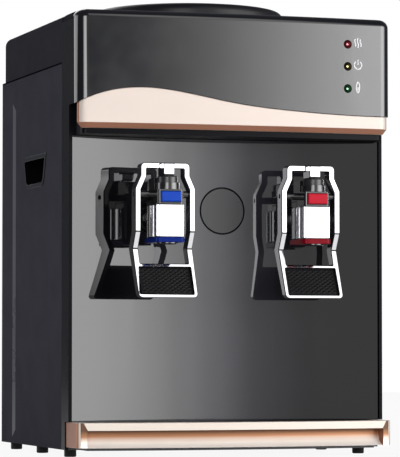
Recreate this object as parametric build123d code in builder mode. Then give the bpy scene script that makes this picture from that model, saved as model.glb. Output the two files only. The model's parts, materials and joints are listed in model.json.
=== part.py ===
from build123d import *
import os
from math import asin, cos, degrees, radians, sin, sqrt, tan

# Countertop water dispenser with a cold and a hot push-lever tap.
# While modelling, Y is 0 at the front edge of the side rails and the front faces -Y.
# Each piece is shifted on saving, so that the origin is the middle of the footprint.

os.makedirs("parts", exist_ok=True)

# Casing
BODY_WIDTH = 300.0
BODY_DEPTH = 248.0
TOP_HEIGHT = 400.0
FOOT_HEIGHT = 7.0
FOOT_RADIUS = 5.5
FOOT_INSET = 11.0
FOOT_ROWS = (34.0, 133.0, 232.0)
WALL = 3.0
FIT_GAP = 0.3
PAN_THICKNESS = 3.0

# Front shell with its bowed header
SHELL_DEPTH = 24.0
HEADER_REACH = 25.0
HEADER_BOW = 6.0
HEADER_CORNER_RADIUS = 12.0
HEADER_TOP_RADIUS = 8.0
HEADER_TOP_WALL = 4.5
SOFFIT_HEIGHT = 289.0

# Header trim with its wave-shaped upper edge
TRIM_INSET = 1.5
TRIM_THICKNESS = 5.0
TRIM_BEVEL_HEIGHT = 4.8
TRIM_BEVEL_DEPTH = 3.2
TRIM_LIFT = 5.0
TRIM_SIDE_END = -18.0
WAVE_CREST_X = -82.0
WAVE_CREST_RISE = 42.0
WAVE_MIDDLE_X = -7.0
WAVE_MIDDLE_RISE = 30.6
WAVE_TAIL_X = 60.0
WAVE_TAIL_RISE = 23.9
WAVE_LEFT_RISE = 25.0
WAVE_RIGHT_RISE = 21.5
WAVE_BACKING = 8.0

# Base trim with its cove
BASE_TOP = 32.0
BASE_BOTTOM = 9.7
BASE_REACH = 26.0
BASE_BOW = 12.0
BASE_RADIUS = 7.0
BASE_SIDE_DEPTH = 12.0
BASE_SIDE_INSET = 1.0
BASE_THICKNESS = 12.0
BASE_BAND = 7.0
COVE_DEPTH = 9.0
COVE_SAG = 3.5
COVE_LEDGE = 0.8
COVE_END_MARGIN = 9.0

# Concave front panel and the blanking plug at its middle
PANEL_THICKNESS = 2.5
PANEL_END_SETBACK = 2.0
PANEL_HOLLOW = 15.5
LEDGE_WIDTH = 10.0
PLUG_RADIUS = 20.4
PLUG_GROOVE = 1.3
PLUG_FLANGE = 3.5
PLUG_DROP = 65.5

# Indicator lights on the header
LENS_SIDE_INSET = 44.0
LENS_TOP_SHARE = 0.22
LENS_PITCH_SHARE = 0.183
LENS_RADIUS = 3.9
LENS_PROUD = 1.4
BOARD_THICKNESS = 1.6
BOARD_WIDTH = 24.0
BOARD_MARGIN = 11.0
BOARD_GAP = 1.2
BOARD_POST_RADIUS = 2.5
LENS_CLEARANCE = 0.1

# Top cover and the lift-out bottle seat
COVER_HEIGHT = 43.5
COVER_INSET = 1.0
COVER_EDGE_RADIUS = 8.0
BOTTLE_Y = 126.0
COLLAR_RADIUS = 92.0
COLLAR_RISE = 17.0
COLLAR_LIP = 10.0
SEAT_HOLE_RADIUS = 82.0
SEAT_CLEARANCE = 0.5
SEAT_SKIRT = 4.0
COLLAR_ROUND = 7.0
SEAT_WALL = 2.6
NECK_BORE_RADIUS = 29.5
NECK_TOP_DROP = 38.0
NECK_GUIDE_LENGTH = 44.0
NECK_SEAT_LENGTH = 20.0
NECK_STEP = 3.0
PROBE_RADIUS = 8.0
PROBE_HEIGHT = 17.0
SEAT_FLOOR = 3.0
SEAT_PORT_RADIUS = 5.0

# Side panels with their pressed fields and handle cups
SIDE_THICKNESS = 2.4
FIELD_DEPTH = 1.3
FIELD_FRONT = 30.0
FIELD_BACK = 206.0
FIELD_BOTTOM = 13.0
FIELD_TOP = 333.0
FIELD_SLOPE = 7.0
HANDLE_Y = 126.0
HANDLE_TOP = 276.0
HANDLE_HEIGHT = 26.0
HANDLE_TOP_WIDTH = 80.0
HANDLE_BOTTOM_WIDTH = 62.0
HANDLE_CORNER = 9.0
HANDLE_DEPTH = 24.0
HANDLE_WALL = 1.8
HANDLE_LIP = 2.2
HANDLE_LIP_THICKNESS = 0.9

# Rear panel, its vents, switches, drain and cord gland
REAR_INSET = 12.0
REAR_THICKNESS = 2.5
VENT_WIDTH = 4.0
VENT_PITCH = 9.0
VENT_COUNT = 8
VENT_LENGTH = 66.0
LOWER_VENT_LENGTH = 34.0
LOWER_VENT_COUNT = 10
LOWER_VENT_HEIGHT = 62.0
LOWER_VENT_X = -30.0
SWITCH_INSET = 54.0
SWITCH_PITCH = 26.0
SWITCH_HEIGHT = 150.0
ROCKER_RADIUS = 9.3
ROCKER_WIDTH = 11.0
ROCKER_FACE = 5.0
ROCKER_TILT = 10.0
ROCKER_GAP = 0.4
ROCKER_PIN_RADIUS = 1.4
ROCKER_PIN_LENGTH = 2.0
SWITCH_WALL = 2.0
SWITCH_FLANGE = 2.0
SWITCH_LIP = 1.6
GLAND_INSET = 54.0
GLAND_HEIGHT = 46.0
GLAND_RADIUS = 7.0
GLAND_FLANGE = 10.5
GLAND_BORE = 3.6
GLAND_LENGTH = 8.0
GLAND_HEAD = 4.0
SCREW_RADIUS = 1.6
SCREW_HEAD_RADIUS = 3.4
SCREW_HEAD = 2.0
SCREW_LENGTH = 9.0
SCREW_MARGIN = 9.0
SCREW_BOTTOM_ROW = 26.0
SCREW_TOP_DROP = 62.0
REAR_FLANGE_WIDTH = 18.0

# Push-lever taps
TAP_X_SHARE = 0.46
TAP_DROP = 97.0
TAP_FRONT = 46.5
TAP_WIDTH = 23.6
TAP_BACK = 9.0
TAP_EDGE_RADIUS = 2.6
RING_HEIGHT = 4.5
RING_MARGIN = 1.6
CHROME_HEIGHT = 29.5
REAR_STEP = 5.0
GROOVE_WIDTH = 3.0
GROOVE_DEPTH = 1.6
GROOVE_PLACES = (-35.0, -13.0)
STEM_SETBACK = 9.6
HEAD_HEIGHT = 13.0
BONNET_RADIUS = 10.8
BONNET_WALL = 1.15
BONNET_FLOOR = 0.6
BONNET_HEIGHT = 6.0
PLUNGER_GAP = 0.35
PLUNGER_RISE = 6.0
PLUNGER_ENGAGED = 1.5
PLUNGER_WALL = 1.6
TOWER_HEIGHT = 24.0
TOWER_WIDTH = 18.0
STEM_RADIUS = 2.0
STEM_CLEARANCE = 0.05
SEAL_RADIUS = 6.0
SEAL_THICKNESS = 3.2
SEAT_BORE_RADIUS = 4.2
SEAT_BORE_LENGTH = 3.0
CHAMBER_RADIUS = 6.5
SPOUT_RADIUS = 9.2
SPOUT_BORE_RADIUS = 7.6
SPOUT_DROP = 1.5
SPRING_WIRE = 0.8
SPRING_RADIUS = 4.6
SPRING_ROOM = 0.4
SPRING_TURNS = 4
SHANK_RADIUS = 8.0
SHANK_BORE_RADIUS = 3.4
SHANK_HEIGHT = 24.0
SHANK_FLANGE_RADIUS = 13.0
SHANK_FLANGE = 3.0
SHANK_CLEARANCE = 0.3
TAP_SEAT_RADIUS = 15.0
TAP_SEAT_FRONT = 11.5
TAP_SEAT_BACK = 18.5
GASKET_THICKNESS = 1.5
NUT_ACROSS_FLATS = 24.0
NUT_LENGTH = 7.0
BARB_RADIUS = 4.0
BARB_LENGTH = 14.0
SEAT_RISE = 1.5
SHANK_TAIL = 5.0

# Lock buttons
BUTTON_WIDTH = 18.4
BUTTON_HEIGHT = 9.4
BUTTON_PROUD = 3.5
BUTTON_DEPTH = 6.0
BUTTON_TRAVEL = 2.5
BUTTON_GAP = 0.4
BUTTON_RADIUS = 1.4

# Levers
LEVER_Y = -24.3
LEVER_BAND = 5.3
LEVER_DEPTH = 12.0
LEVER_HALF_WIDTH = 28.0
LEVER_TOP_HALF_WIDTH = 22.9
LEVER_TOP = 71.5
LEVER_SHOULDER = 60.0
LEVER_FLARE = 48.5
LEVER_BEND = 10.0
LEVER_WAIST = -5.0
LEVER_WAIST_BACK = 9.0
LEVER_BOTTOM = -49.2
LEVER_BOTTOM_FORWARD = 12.5
LEVER_BOTTOM_HALF_WIDTH = 27.7
LEVER_CROSSBAR = -20.1
CROSSBAR_HEIGHT = 3.0
PADDLE_SILL = 3.2
PADDLE_BAND = 3.6
LEVER_CORNER = 4.0
PADDLE_DEPTH = 8.0
PAD_THICKNESS = 4.0
LUG_HALF_WIDTH = 5.2
LUG_REACH = 17.5
LUG_TOP_DROP = 1.0
LUG_NOSE_RADIUS = 2.0
LUG_CLEARANCE = 0.35
PIVOT_HEIGHT = 43.5
PIN_RADIUS = 1.5
PIN_CLEARANCE = 0.06
PIN_RECESS = 0.5
BOSS_RADIUS = 3.2
BOSS_GAP = 0.4

# Cold tank, its insulation and the thermoelectric cooler
COLD_TOP_DROP = 78.0
COLD_RADIUS = 56.0
COLD_DEPTH = 95.0
COLD_WALL = 2.0
COLD_FLANGE = 3.0
COLD_FLANGE_RADIUS = 80.0
POST_RADIUS = 5.0
POST_SPREAD = 62.0
EAR_RADIUS = 9.0
INSULATION = 12.0
SPIGOT_RADIUS = 4.0
SPIGOT_LENGTH = 18.0
HOT_SPIGOT_LENGTH = 8.0
SPIGOT_BORE_RADIUS = 2.6
COLD_SPIGOT_X = -30.0
FEED_SPIGOT_Y = 26.0
COOLER_DROP = 52.0
BLOCK_SIZE = 44.0
BLOCK_DEPTH = 16.0
MODULE_SIZE = 40.0
MODULE_THICKNESS = 4.0
SINK_SIZE = 82.0
SINK_BASE = 5.0
FIN_COUNT = 13
FIN_THICKNESS = 1.6
FAN_SIZE = 80.0
FAN_THICKNESS = 15.0
FAN_BORE_RADIUS = 37.5
FAN_HUB_RADIUS = 15.0
FAN_BLADE_RADIUS = 35.5
FAN_BLADES = 7
FAN_BLADE_THICKNESS = 1.5
FAN_ROOT_PITCH = 50.0
FAN_TIP_PITCH = 28.0
FAN_SHAFT_RADIUS = 1.5
FAN_SHAFT_CLEARANCE = 0.05
FAN_PLATE = 2.5
FAN_GAP = 0.8
FAN_STRUT_WIDTH = 4.0
FAN_CORNER_RADIUS = 5.0

# Hot tank, its heater and thermostats
HOT_X = 36.0
HOT_Y = 140.0
HOT_RADIUS = 42.0
HOT_HEIGHT = 105.0
HOT_DOME_RADIUS = 9.0
HOT_WALL = 2.0
STAND_HEIGHT = 14.0
STAND_RADIUS = 30.0
STAND_WALL = 2.0
HEATER_HEIGHT = 40.0
HEATER_LIFT = 32.0
HEATER_THICKNESS = 3.5
HEATER_GAP = 0.05
THERMOSTAT_RADIUS = 8.0
THERMOSTAT_HEIGHT = 9.0
THERMOSTAT_SPREAD = 20.0
DRAIN_RADIUS = 5.0
DRAIN_LIFT = 22.0
DRAIN_TAIL = 8.0
DRAIN_CLEARANCE = 0.5
DRAIN_BORE = 3.2
CAP_RADIUS = 9.0
CAP_WALL = 2.0
CAP_GAP = 0.35
CAP_RIBS = 12
CAP_RIB_RADIUS = 0.9

# Power board
POWER_INSET = 66.0
POWER_Y = 120.0
POWER_WIDTH = 76.0
POWER_LENGTH = 96.0
STANDOFF_HEIGHT = 8.0
STANDOFF_RADIUS = 3.0
STANDOFF_MARGIN = 6.0
POWER_BOARD_THICKNESS = 1.6
TRANSFORMER_SIZE = (34.0, 30.0, 26.0)
RELAY_SIZE = (19.0, 15.0, 15.0)
CAPACITOR_RADIUS = 6.0
CAPACITOR_HEIGHT = 20.0

# Silicone tubes
TUBE_RADIUS = 6.0
TUBE_BEND = 16.0
TUBE_LAP = 2.0
TUBE_TURN_Y = 76.0
COLD_TUBE_DROP = 34.0
FEED_TUBE_DROP = 26.0
FEED_DROP_X = -46.0
FEED_SLOPE_DROP = 28.0
HOT_TUBE_RISE = 24.0

# Places worked out from the sizes above
UPRIGHT = (Align.CENTER, Align.CENTER, Align.MIN)
HANGING = (Align.CENTER, Align.CENTER, Align.MAX)
STANDING = (Align.CENTER, Align.MIN, Align.MIN)
TOUCH = 0.02
HALF = BODY_WIDTH / 2
TAP_REACH = TAP_FRONT + BUTTON_PROUD
FRAME_SHIFT = Location((0, -(BODY_DEPTH - TAP_REACH) / 2, 0))
PAN_TOP = FOOT_HEIGHT + PAN_THICKNESS
PAN_HALF = HALF - WALL - FIT_GAP
COVER_BOTTOM = TOP_HEIGHT - COVER_HEIGHT
COVER_BACK = BODY_DEPTH - COVER_INSET
REAR_FACE = BODY_DEPTH - REAR_INSET
REAR_INNER = REAR_FACE - REAR_THICKNESS
HEADER_FRONT = -HEADER_REACH - HEADER_BOW
HEADER_ARC = (HALF**2 + HEADER_BOW**2) / (2 * HEADER_BOW)
RECESS_INSET = TRIM_INSET + TRIM_THICKNESS + FIT_GAP
TRIM_BOTTOM = SOFFIT_HEIGHT + TRIM_LIFT
WAVE_POINTS = (
    (WAVE_CREST_X, SOFFIT_HEIGHT + WAVE_CREST_RISE),
    (WAVE_MIDDLE_X, SOFFIT_HEIGHT + WAVE_MIDDLE_RISE),
    (WAVE_TAIL_X, SOFFIT_HEIGHT + WAVE_TAIL_RISE),
)
LEDGE_HEIGHT = SOFFIT_HEIGHT + WAVE_CREST_RISE + WAVE_BACKING
PLUG_HEIGHT = SOFFIT_HEIGHT - PLUG_DROP
TAP_X = HALF * TAP_X_SHARE
TAP_BASE = SOFFIT_HEIGHT - TAP_DROP
PANEL_HALF = HALF - WALL - 2 * FIT_GAP
PANEL_ARC = (PANEL_HALF**2 + PANEL_HOLLOW**2) / (2 * PANEL_HOLLOW)
PANEL_MIDDLE = PANEL_END_SETBACK + PANEL_HOLLOW
PANEL_BACK = PANEL_MIDDLE + PANEL_THICKNESS
BASE_HALF = HALF - BASE_SIDE_INSET
BASE_FRONT = -BASE_REACH - BASE_BOW
BASE_ARC = (BASE_HALF**2 + BASE_BOW**2) / (2 * BASE_BOW)
COLD_TOP = TOP_HEIGHT - COLD_TOP_DROP
COLD_BOTTOM = COLD_TOP - COLD_DEPTH
COOLER_HEIGHT = COLD_TOP - COOLER_DROP
INSULATION_BOTTOM = COLD_BOTTOM - INSULATION
SPIGOT_END = COLD_BOTTOM - SPIGOT_LENGTH
HOT_BOTTOM = PAN_TOP + STAND_HEIGHT
HOT_TOP = HOT_BOTTOM + HOT_HEIGHT
HOT_PORT_HEIGHT = HOT_BOTTOM + DRAIN_LIFT
CHROME_BOTTOM = TAP_BASE + RING_HEIGHT
CHROME_TOP = CHROME_BOTTOM + CHROME_HEIGHT
CHROME_REAR_TOP = CHROME_TOP + REAR_STEP
TAP_LENGTH = TAP_FRONT - TAP_BACK
HEAD_TOP = CHROME_TOP + HEAD_HEIGHT
BONNET_TOP = HEAD_TOP + BONNET_HEIGHT
BONNET_BOTTOM = HEAD_TOP + BONNET_FLOOR
PLUNGER_RADIUS = BONNET_RADIUS - BONNET_WALL - PLUNGER_GAP
PLUNGER_BOTTOM = BONNET_TOP - PLUNGER_ENGAGED
PLUNGER_TOP = BONNET_TOP + PLUNGER_RISE
SPRING_TOP = PLUNGER_TOP - PLUNGER_WALL
STEM_Y = -TAP_FRONT + STEM_SETBACK
TOWER_FRONT = STEM_Y + BONNET_RADIUS + BOSS_GAP
SHANK_Z = TAP_BASE + SHANK_HEIGHT
SEAT_TOP = SHANK_Z - SHANK_BORE_RADIUS - SEAT_RISE
SEAT_BOTTOM = SEAT_TOP - SEAT_BORE_LENGTH
SEAL_TOP = SEAT_BOTTOM - TOUCH
SEAL_BOTTOM = SEAL_TOP - SEAL_THICKNESS
GASKET_FRONT = TAP_SEAT_FRONT - GASKET_THICKNESS
NUT_BACK = TAP_SEAT_BACK + NUT_LENGTH
SHANK_END = NUT_BACK + SHANK_TAIL
BARB_END = SHANK_END + BARB_LENGTH
PIVOT_Z = TAP_BASE + PIVOT_HEIGHT
LEVER_INNER = LEVER_HALF_WIDTH - LEVER_BAND
LUG_BOTTOM = PLUNGER_TOP + LUG_CLEARANCE
BUTTON_Z = CHROME_TOP + HEAD_HEIGHT / 2
BUTTON_FRONT = -TAP_REACH
BUTTON_ROOM = BUTTON_DEPTH - BUTTON_PROUD + BUTTON_TRAVEL + BUTTON_GAP
BLOCK_BACK = BOTTLE_Y + COLD_RADIUS + BLOCK_DEPTH
SINK_FRONT = BLOCK_BACK + MODULE_THICKNESS
FAN_BACK = REAR_INNER - TOUCH
FAN_FRONT = FAN_BACK - FAN_THICKNESS
ROCKER_ROOM = ROCKER_RADIUS + ROCKER_GAP
ROCKER_Y = REAR_FACE + SWITCH_FLANGE - ROCKER_FACE / 2
SWITCH_BODY_WIDTH = ROCKER_WIDTH + 2 * (ROCKER_GAP + SWITCH_WALL)
SWITCH_BODY_HEIGHT = 2 * (ROCKER_ROOM + SWITCH_WALL)
SWITCH_XS = (HALF - SWITCH_INSET - SWITCH_PITCH / 2, HALF - SWITCH_INSET + SWITCH_PITCH / 2)
GLAND_X = GLAND_INSET - HALF
BOARD_FRONT = -HEADER_REACH + RECESS_INSET + WALL + BOARD_GAP
LENS_X = HALF - LENS_SIDE_INSET
HEADER_HEIGHT = TOP_HEIGHT - SOFFIT_HEIGHT
LENS_FACE = HEADER_FRONT + HEADER_ARC - sqrt(HEADER_ARC**2 - LENS_X**2)
LENS_HEIGHTS = [TOP_HEIGHT - HEADER_HEIGHT * (LENS_TOP_SHARE + row * LENS_PITCH_SHARE) for row in range(3)]
POST_PLACES = [
    (x, BOTTLE_Y + y) for x in (-POST_SPREAD, POST_SPREAD) for y in (-POST_SPREAD, POST_SPREAD)
]
SCREW_TOP_ROW = TOP_HEIGHT - SCREW_TOP_DROP
SCREW_ROWS = (SCREW_BOTTOM_ROW, (SCREW_BOTTOM_ROW + SCREW_TOP_ROW) / 2, SCREW_TOP_ROW)
SCREW_PLACES = [
    (side * (HALF - SIDE_THICKNESS - SCREW_MARGIN), height) for side in (-1, 1) for height in SCREW_ROWS
]
POWER_X = POWER_INSET - HALF
POWER_TOP = PAN_TOP + STANDOFF_HEIGHT
TUBE_BORE_RADIUS = SPIGOT_RADIUS + TOUCH
DRAIN_END = REAR_FACE + DRAIN_TAIL


def save(piece, name, place=Location()):
    """Shifts a finished piece to the shared frame, labels it and writes its STEP file."""
    placed = piece.moved(FRAME_SHIFT * place)
    placed.label = name
    export_step(placed, f"parts/{name}.step")


def facing_back(x, y, z):
    """Plane at a point that looks along +Y."""
    return Plane((x, y, z), x_dir=(1, 0, 0), z_dir=(0, 1, 0))


def facing_right(x, y, z):
    """Plane at a point that looks along +X, with Y across and Z up."""
    return Plane((x, y, z), x_dir=(0, 1, 0), z_dir=(1, 0, 0))


def bowed_plan(half_width, back, corner, bow, radius):
    """Plan with straight sides and a front that bows towards -Y between rounded corners."""
    with BuildSketch() as plan:
        with BuildLine():
            Polyline((-half_width, corner), (-half_width, back), (half_width, back), (half_width, corner))
            ThreePointArc((half_width, corner), (0, corner - bow), (-half_width, corner))
        make_face()
        fillet(plan.vertices().group_by(Axis.Y)[0], radius=radius)
    return plan.sketch


def header_plan(inset, back):
    """Plan of the header, drawn in by an inset."""
    radius = max(HEADER_CORNER_RADIUS - inset, WALL / 2)
    return bowed_plan(HALF - inset, back, -HEADER_REACH + inset, HEADER_BOW, radius)


def base_plan(inset, back):
    """Plan of the base trim, drawn in by an inset."""
    radius = max(BASE_RADIUS - inset, WALL / 2)
    return bowed_plan(BASE_HALF - inset, back, -BASE_REACH + inset, BASE_BOW, radius)


def wave_region(drop):
    """Front view of all that lies below the wave line of the header trim."""
    side = HALF + WALL
    bottom = SOFFIT_HEIGHT - WALL
    left = (-side, SOFFIT_HEIGHT + WAVE_LEFT_RISE - drop)
    right = (side, SOFFIT_HEIGHT + WAVE_RIGHT_RISE - drop)
    with BuildSketch() as region:
        with BuildLine():
            wave = Spline(left, *[(x, z - drop) for x, z in WAVE_POINTS], right)
            Polyline(wave @ 1, (side, bottom), (-side, bottom), wave @ 0)
        make_face()
    return region.sketch


def panel_depth(x):
    """How far the hollow of the front panel comes forward at a distance from its middle."""
    return PANEL_ARC - sqrt(PANEL_ARC**2 - x**2)


def panel_band(front, thickness, half_width):
    """Plan of a strip that follows the hollow of the front panel."""
    ends = front - panel_depth(half_width)
    with BuildSketch() as band:
        with BuildLine():
            fore = ThreePointArc((-half_width, ends), (0, front), (half_width, ends))
            aft = ThreePointArc(
                (-half_width, ends + thickness), (0, front + thickness), (half_width, ends + thickness)
            )
            Line(fore @ 0, aft @ 0)
            Line(fore @ 1, aft @ 1)
        make_face()
    return band.sketch


def handle_outline(grow):
    """Side view of a handle cup: a straight top and a rounded, narrower bottom."""
    top = HANDLE_TOP_WIDTH / 2
    bottom = HANDLE_BOTTOM_WIDTH / 2
    with BuildSketch() as outline:
        with BuildLine():
            Polyline((-top, 0), (top, 0), (bottom, -HANDLE_HEIGHT), (-bottom, -HANDLE_HEIGHT), close=True)
        make_face()
        fillet(outline.vertices().group_by(Axis.Y)[0], radius=HANDLE_CORNER)
        offset(amount=grow, kind=Kind.INTERSECTION, mode=Mode.REPLACE)
    return outline.sketch


def tap_outline(grow):
    """Plan of the tap block, grown by a margin."""
    with BuildSketch() as outline:
        with Locations((0, -(TAP_FRONT + TAP_BACK) / 2)):
            RectangleRounded(TAP_WIDTH + 2 * grow, TAP_LENGTH + 2 * grow, TAP_EDGE_RADIUS + grow)
    return outline.sketch


def lever_outline(inset):
    """Front view of the lever frame, drawn in by an inset."""
    with BuildSketch() as outline:
        with BuildLine():
            half = [
                (LEVER_TOP_HALF_WIDTH, TAP_BASE + LEVER_TOP),
                (LEVER_TOP_HALF_WIDTH, TAP_BASE + LEVER_SHOULDER),
                (LEVER_HALF_WIDTH, TAP_BASE + LEVER_FLARE),
                (LEVER_HALF_WIDTH, TAP_BASE + LEVER_WAIST),
                (LEVER_BOTTOM_HALF_WIDTH, TAP_BASE + LEVER_BOTTOM),
            ]
            Polyline(*half, *[(-x, z) for x, z in reversed(half)], close=True)
        make_face()
        fillet(outline.vertices().group_by(Axis.Y)[0], radius=LEVER_CORNER)
        fillet(outline.vertices().group_by(Axis.Y)[-1], radius=LEVER_CORNER)
        offset(amount=-inset, kind=Kind.INTERSECTION, mode=Mode.REPLACE)
    return outline.sketch


def lever_window(gap):
    """Front view of the opening inside the lever frame, drawn in by a gap."""
    with BuildSketch() as window:
        add(lever_outline(LEVER_BAND + gap))
        with Locations((0, TAP_BASE + LEVER_BOTTOM + PADDLE_SILL + gap)):
            Rectangle(
                2 * (LEVER_BOTTOM_HALF_WIDTH - PADDLE_BAND - gap),
                LEVER_CROSSBAR - CROSSBAR_HEIGHT / 2 - LEVER_BOTTOM - PADDLE_SILL - gap,
                align=(Align.CENTER, Align.MIN),
            )
    return window.sketch


def lever_side(upper_depth, lower_depth):
    """Side view of the lever: straight above, set back at the waist, forward at the paddle."""
    line = (
        (0, LEVER_TOP, upper_depth),
        (0, LEVER_BEND, upper_depth),
        (LEVER_WAIST_BACK, LEVER_WAIST, upper_depth),
        (-LEVER_BOTTOM_FORWARD, LEVER_BOTTOM, lower_depth),
    )
    fore = [(LEVER_Y + y - depth / 2, TAP_BASE + z) for y, z, depth in line]
    aft = [(LEVER_Y + y + depth / 2, TAP_BASE + z) for y, z, depth in line]
    with BuildSketch() as outline:
        with BuildLine():
            Polyline(*fore, *reversed(aft), close=True)
        make_face()
    return outline.sketch


def silicone_tube(points):
    """Hollow tube along straight runs joined by bends."""
    with BuildPart() as tube:
        with BuildLine() as route:
            FilletPolyline(*points, radius=TUBE_BEND)
        with BuildSketch(Plane(route.line @ 0, z_dir=route.line % 0)):
            Circle(TUBE_RADIUS)
            Circle(TUBE_BORE_RADIUS, mode=Mode.SUBTRACT)
        sweep()
    return tube.part


# Front shell: bowed header, soffit, side rails, panel ledges and base sill in one moulding
with BuildPart() as trim_recess:
    with BuildSketch(Plane.XZ):
        add(wave_region(0))
    extrude(amount=WALL - HEADER_FRONT)
    with BuildSketch(Plane.XY.offset(SOFFIT_HEIGHT - WALL)):
        add(header_plan(RECESS_INSET, WALL))
    extrude(amount=TOP_HEIGHT - SOFFIT_HEIGHT, mode=Mode.SUBTRACT)

with BuildPart() as front_shell:
    with BuildSketch(Plane.XY.offset(SOFFIT_HEIGHT)):
        add(header_plan(0, SHELL_DEPTH))
    extrude(amount=TOP_HEIGHT - SOFFIT_HEIGHT)
    top_edges = front_shell.faces().sort_by(Axis.Z)[-1].edges()
    fillet(top_edges.sort_by(Axis.Y)[:-1], radius=HEADER_TOP_RADIUS)
    with BuildSketch(Plane.XY.offset(LEDGE_HEIGHT)):
        add(header_plan(WALL, SHELL_DEPTH))
    extrude(amount=TOP_HEIGHT - HEADER_TOP_WALL - LEDGE_HEIGHT, mode=Mode.SUBTRACT)
    with BuildSketch(Plane.XY.offset(SOFFIT_HEIGHT + WALL)):
        add(header_plan(RECESS_INSET + WALL, SHELL_DEPTH))
    extrude(amount=LEDGE_HEIGHT - SOFFIT_HEIGHT - WALL, mode=Mode.SUBTRACT)
    add(trim_recess.part, mode=Mode.SUBTRACT)
    for side in (-1, 1):
        with Locations((side * (HALF - WALL / 2), 0, FOOT_HEIGHT)):
            Box(WALL, SHELL_DEPTH, SOFFIT_HEIGHT - FOOT_HEIGHT, align=STANDING)
        with Locations((side * (HALF - WALL / 2), BASE_SIDE_DEPTH + FIT_GAP, FOOT_HEIGHT)):
            Box(
                2 * WALL,
                SHELL_DEPTH,
                BASE_TOP + FIT_GAP - FOOT_HEIGHT,
                align=(Align.CENTER, Align.MAX, Align.MIN),
                mode=Mode.SUBTRACT,
            )
        ledge_front = PANEL_BACK + TOUCH - panel_depth(HALF - WALL - LEDGE_WIDTH)
        with Locations((side * (HALF - WALL - LEDGE_WIDTH / 2), ledge_front, BASE_TOP + FIT_GAP)):
            Box(LEDGE_WIDTH, WALL, SOFFIT_HEIGHT - BASE_TOP, align=STANDING)
    with BuildSketch(Plane.XY.offset(BASE_TOP - WALL)):
        add(base_plan(BASE_THICKNESS + FIT_GAP, SHELL_DEPTH))
        with Locations((0, SHELL_DEPTH)):
            Rectangle(
                BODY_WIDTH - WALL, SHELL_DEPTH - BASE_SIDE_DEPTH - FIT_GAP, align=(Align.CENTER, Align.MAX)
            )
    extrude(amount=WALL)
    for lower, upper in zip(LENS_HEIGHTS[1:], LENS_HEIGHTS):
        with Locations(facing_back(LENS_X, LENS_FACE + WALL / 2, (lower + upper) / 2)):
            Cylinder(BOARD_POST_RADIUS, BOARD_FRONT - LENS_FACE - WALL / 2, align=UPRIGHT)
    for height in LENS_HEIGHTS:
        with Locations(facing_back(LENS_X, HEADER_FRONT, height)):
            Cylinder(LENS_RADIUS + LENS_CLEARANCE, BOARD_FRONT - HEADER_FRONT, align=UPRIGHT, mode=Mode.SUBTRACT)
save(front_shell.part, "front_shell")

# Concave front panel with flat seats for the taps and a hole for the blanking plug
with BuildPart() as front_panel:
    with BuildSketch(Plane.XY.offset(BASE_TOP + TOUCH)):
        add(panel_band(PANEL_MIDDLE, PANEL_THICKNESS, PANEL_HALF))
    extrude(amount=SOFFIT_HEIGHT - BASE_TOP - FIT_GAP)
    for x in (-TAP_X, TAP_X):
        with Locations(facing_back(x, TAP_SEAT_FRONT, SHANK_Z)):
            Cylinder(TAP_SEAT_RADIUS, TAP_SEAT_BACK - TAP_SEAT_FRONT, align=UPRIGHT)
            Cylinder(
                SHANK_RADIUS + SHANK_CLEARANCE,
                TAP_SEAT_BACK - TAP_SEAT_FRONT,
                align=UPRIGHT,
                mode=Mode.SUBTRACT,
            )
    with Locations(facing_back(0, PANEL_MIDDLE, PLUG_HEIGHT)):
        Cylinder(PLUG_RADIUS + PLUG_GROOVE, 4 * PANEL_THICKNESS, mode=Mode.SUBTRACT)
save(front_panel.part, "front_panel")

with BuildPart() as plug_flange:
    plug_flange_radius = PLUG_RADIUS + PLUG_GROOVE + PLUG_FLANGE
    with BuildSketch(Plane.XY.offset(PLUG_HEIGHT - plug_flange_radius)):
        add(panel_band(PANEL_BACK + TOUCH, PANEL_THICKNESS, plug_flange_radius))
    extrude(amount=2 * plug_flange_radius)
    with Locations(facing_back(0, PANEL_MIDDLE, PLUG_HEIGHT)):
        Cylinder(plug_flange_radius, 8 * PANEL_THICKNESS, mode=Mode.INTERSECT)

with BuildPart() as centre_plug:
    with BuildSketch(Plane.XY.offset(PLUG_HEIGHT - PLUG_RADIUS)):
        add(panel_band(PANEL_MIDDLE, 2 * PANEL_THICKNESS, PLUG_RADIUS))
    extrude(amount=2 * PLUG_RADIUS)
    with Locations(facing_back(0, PANEL_MIDDLE, PLUG_HEIGHT)):
        Cylinder(PLUG_RADIUS, 8 * PANEL_THICKNESS, mode=Mode.INTERSECT)
    add(plug_flange.part)
save(centre_plug.part, "centre_plug")

# Header trim: a bevelled strip round the header whose upper edge is the wave line
with BuildPart() as header_trim:
    with BuildSketch(Plane.XY.offset(TRIM_BOTTOM)):
        add(header_plan(TRIM_INSET + TRIM_BEVEL_DEPTH, 0))
    with BuildSketch(Plane.XY.offset(TRIM_BOTTOM + TRIM_BEVEL_HEIGHT)):
        add(header_plan(TRIM_INSET, 0))
    loft(ruled=True)
    with BuildSketch(Plane.XY.offset(TRIM_BOTTOM + TRIM_BEVEL_HEIGHT)):
        add(header_plan(TRIM_INSET, 0))
    extrude(amount=LEDGE_HEIGHT - TRIM_BOTTOM - TRIM_BEVEL_HEIGHT)
    with BuildSketch(Plane.XY.offset(TRIM_BOTTOM)):
        add(header_plan(TRIM_INSET + TRIM_THICKNESS, WALL))
    extrude(amount=LEDGE_HEIGHT - TRIM_BOTTOM, mode=Mode.SUBTRACT)
    with Locations((0, TRIM_SIDE_END, TRIM_BOTTOM)):
        Box(2 * BODY_WIDTH, SHELL_DEPTH, TOP_HEIGHT, align=STANDING, mode=Mode.SUBTRACT)
    with BuildSketch(Plane.XZ):
        add(wave_region(FIT_GAP))
    extrude(amount=WALL - HEADER_FRONT, mode=Mode.INTERSECT)
save(header_trim.part, "header_trim")

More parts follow.
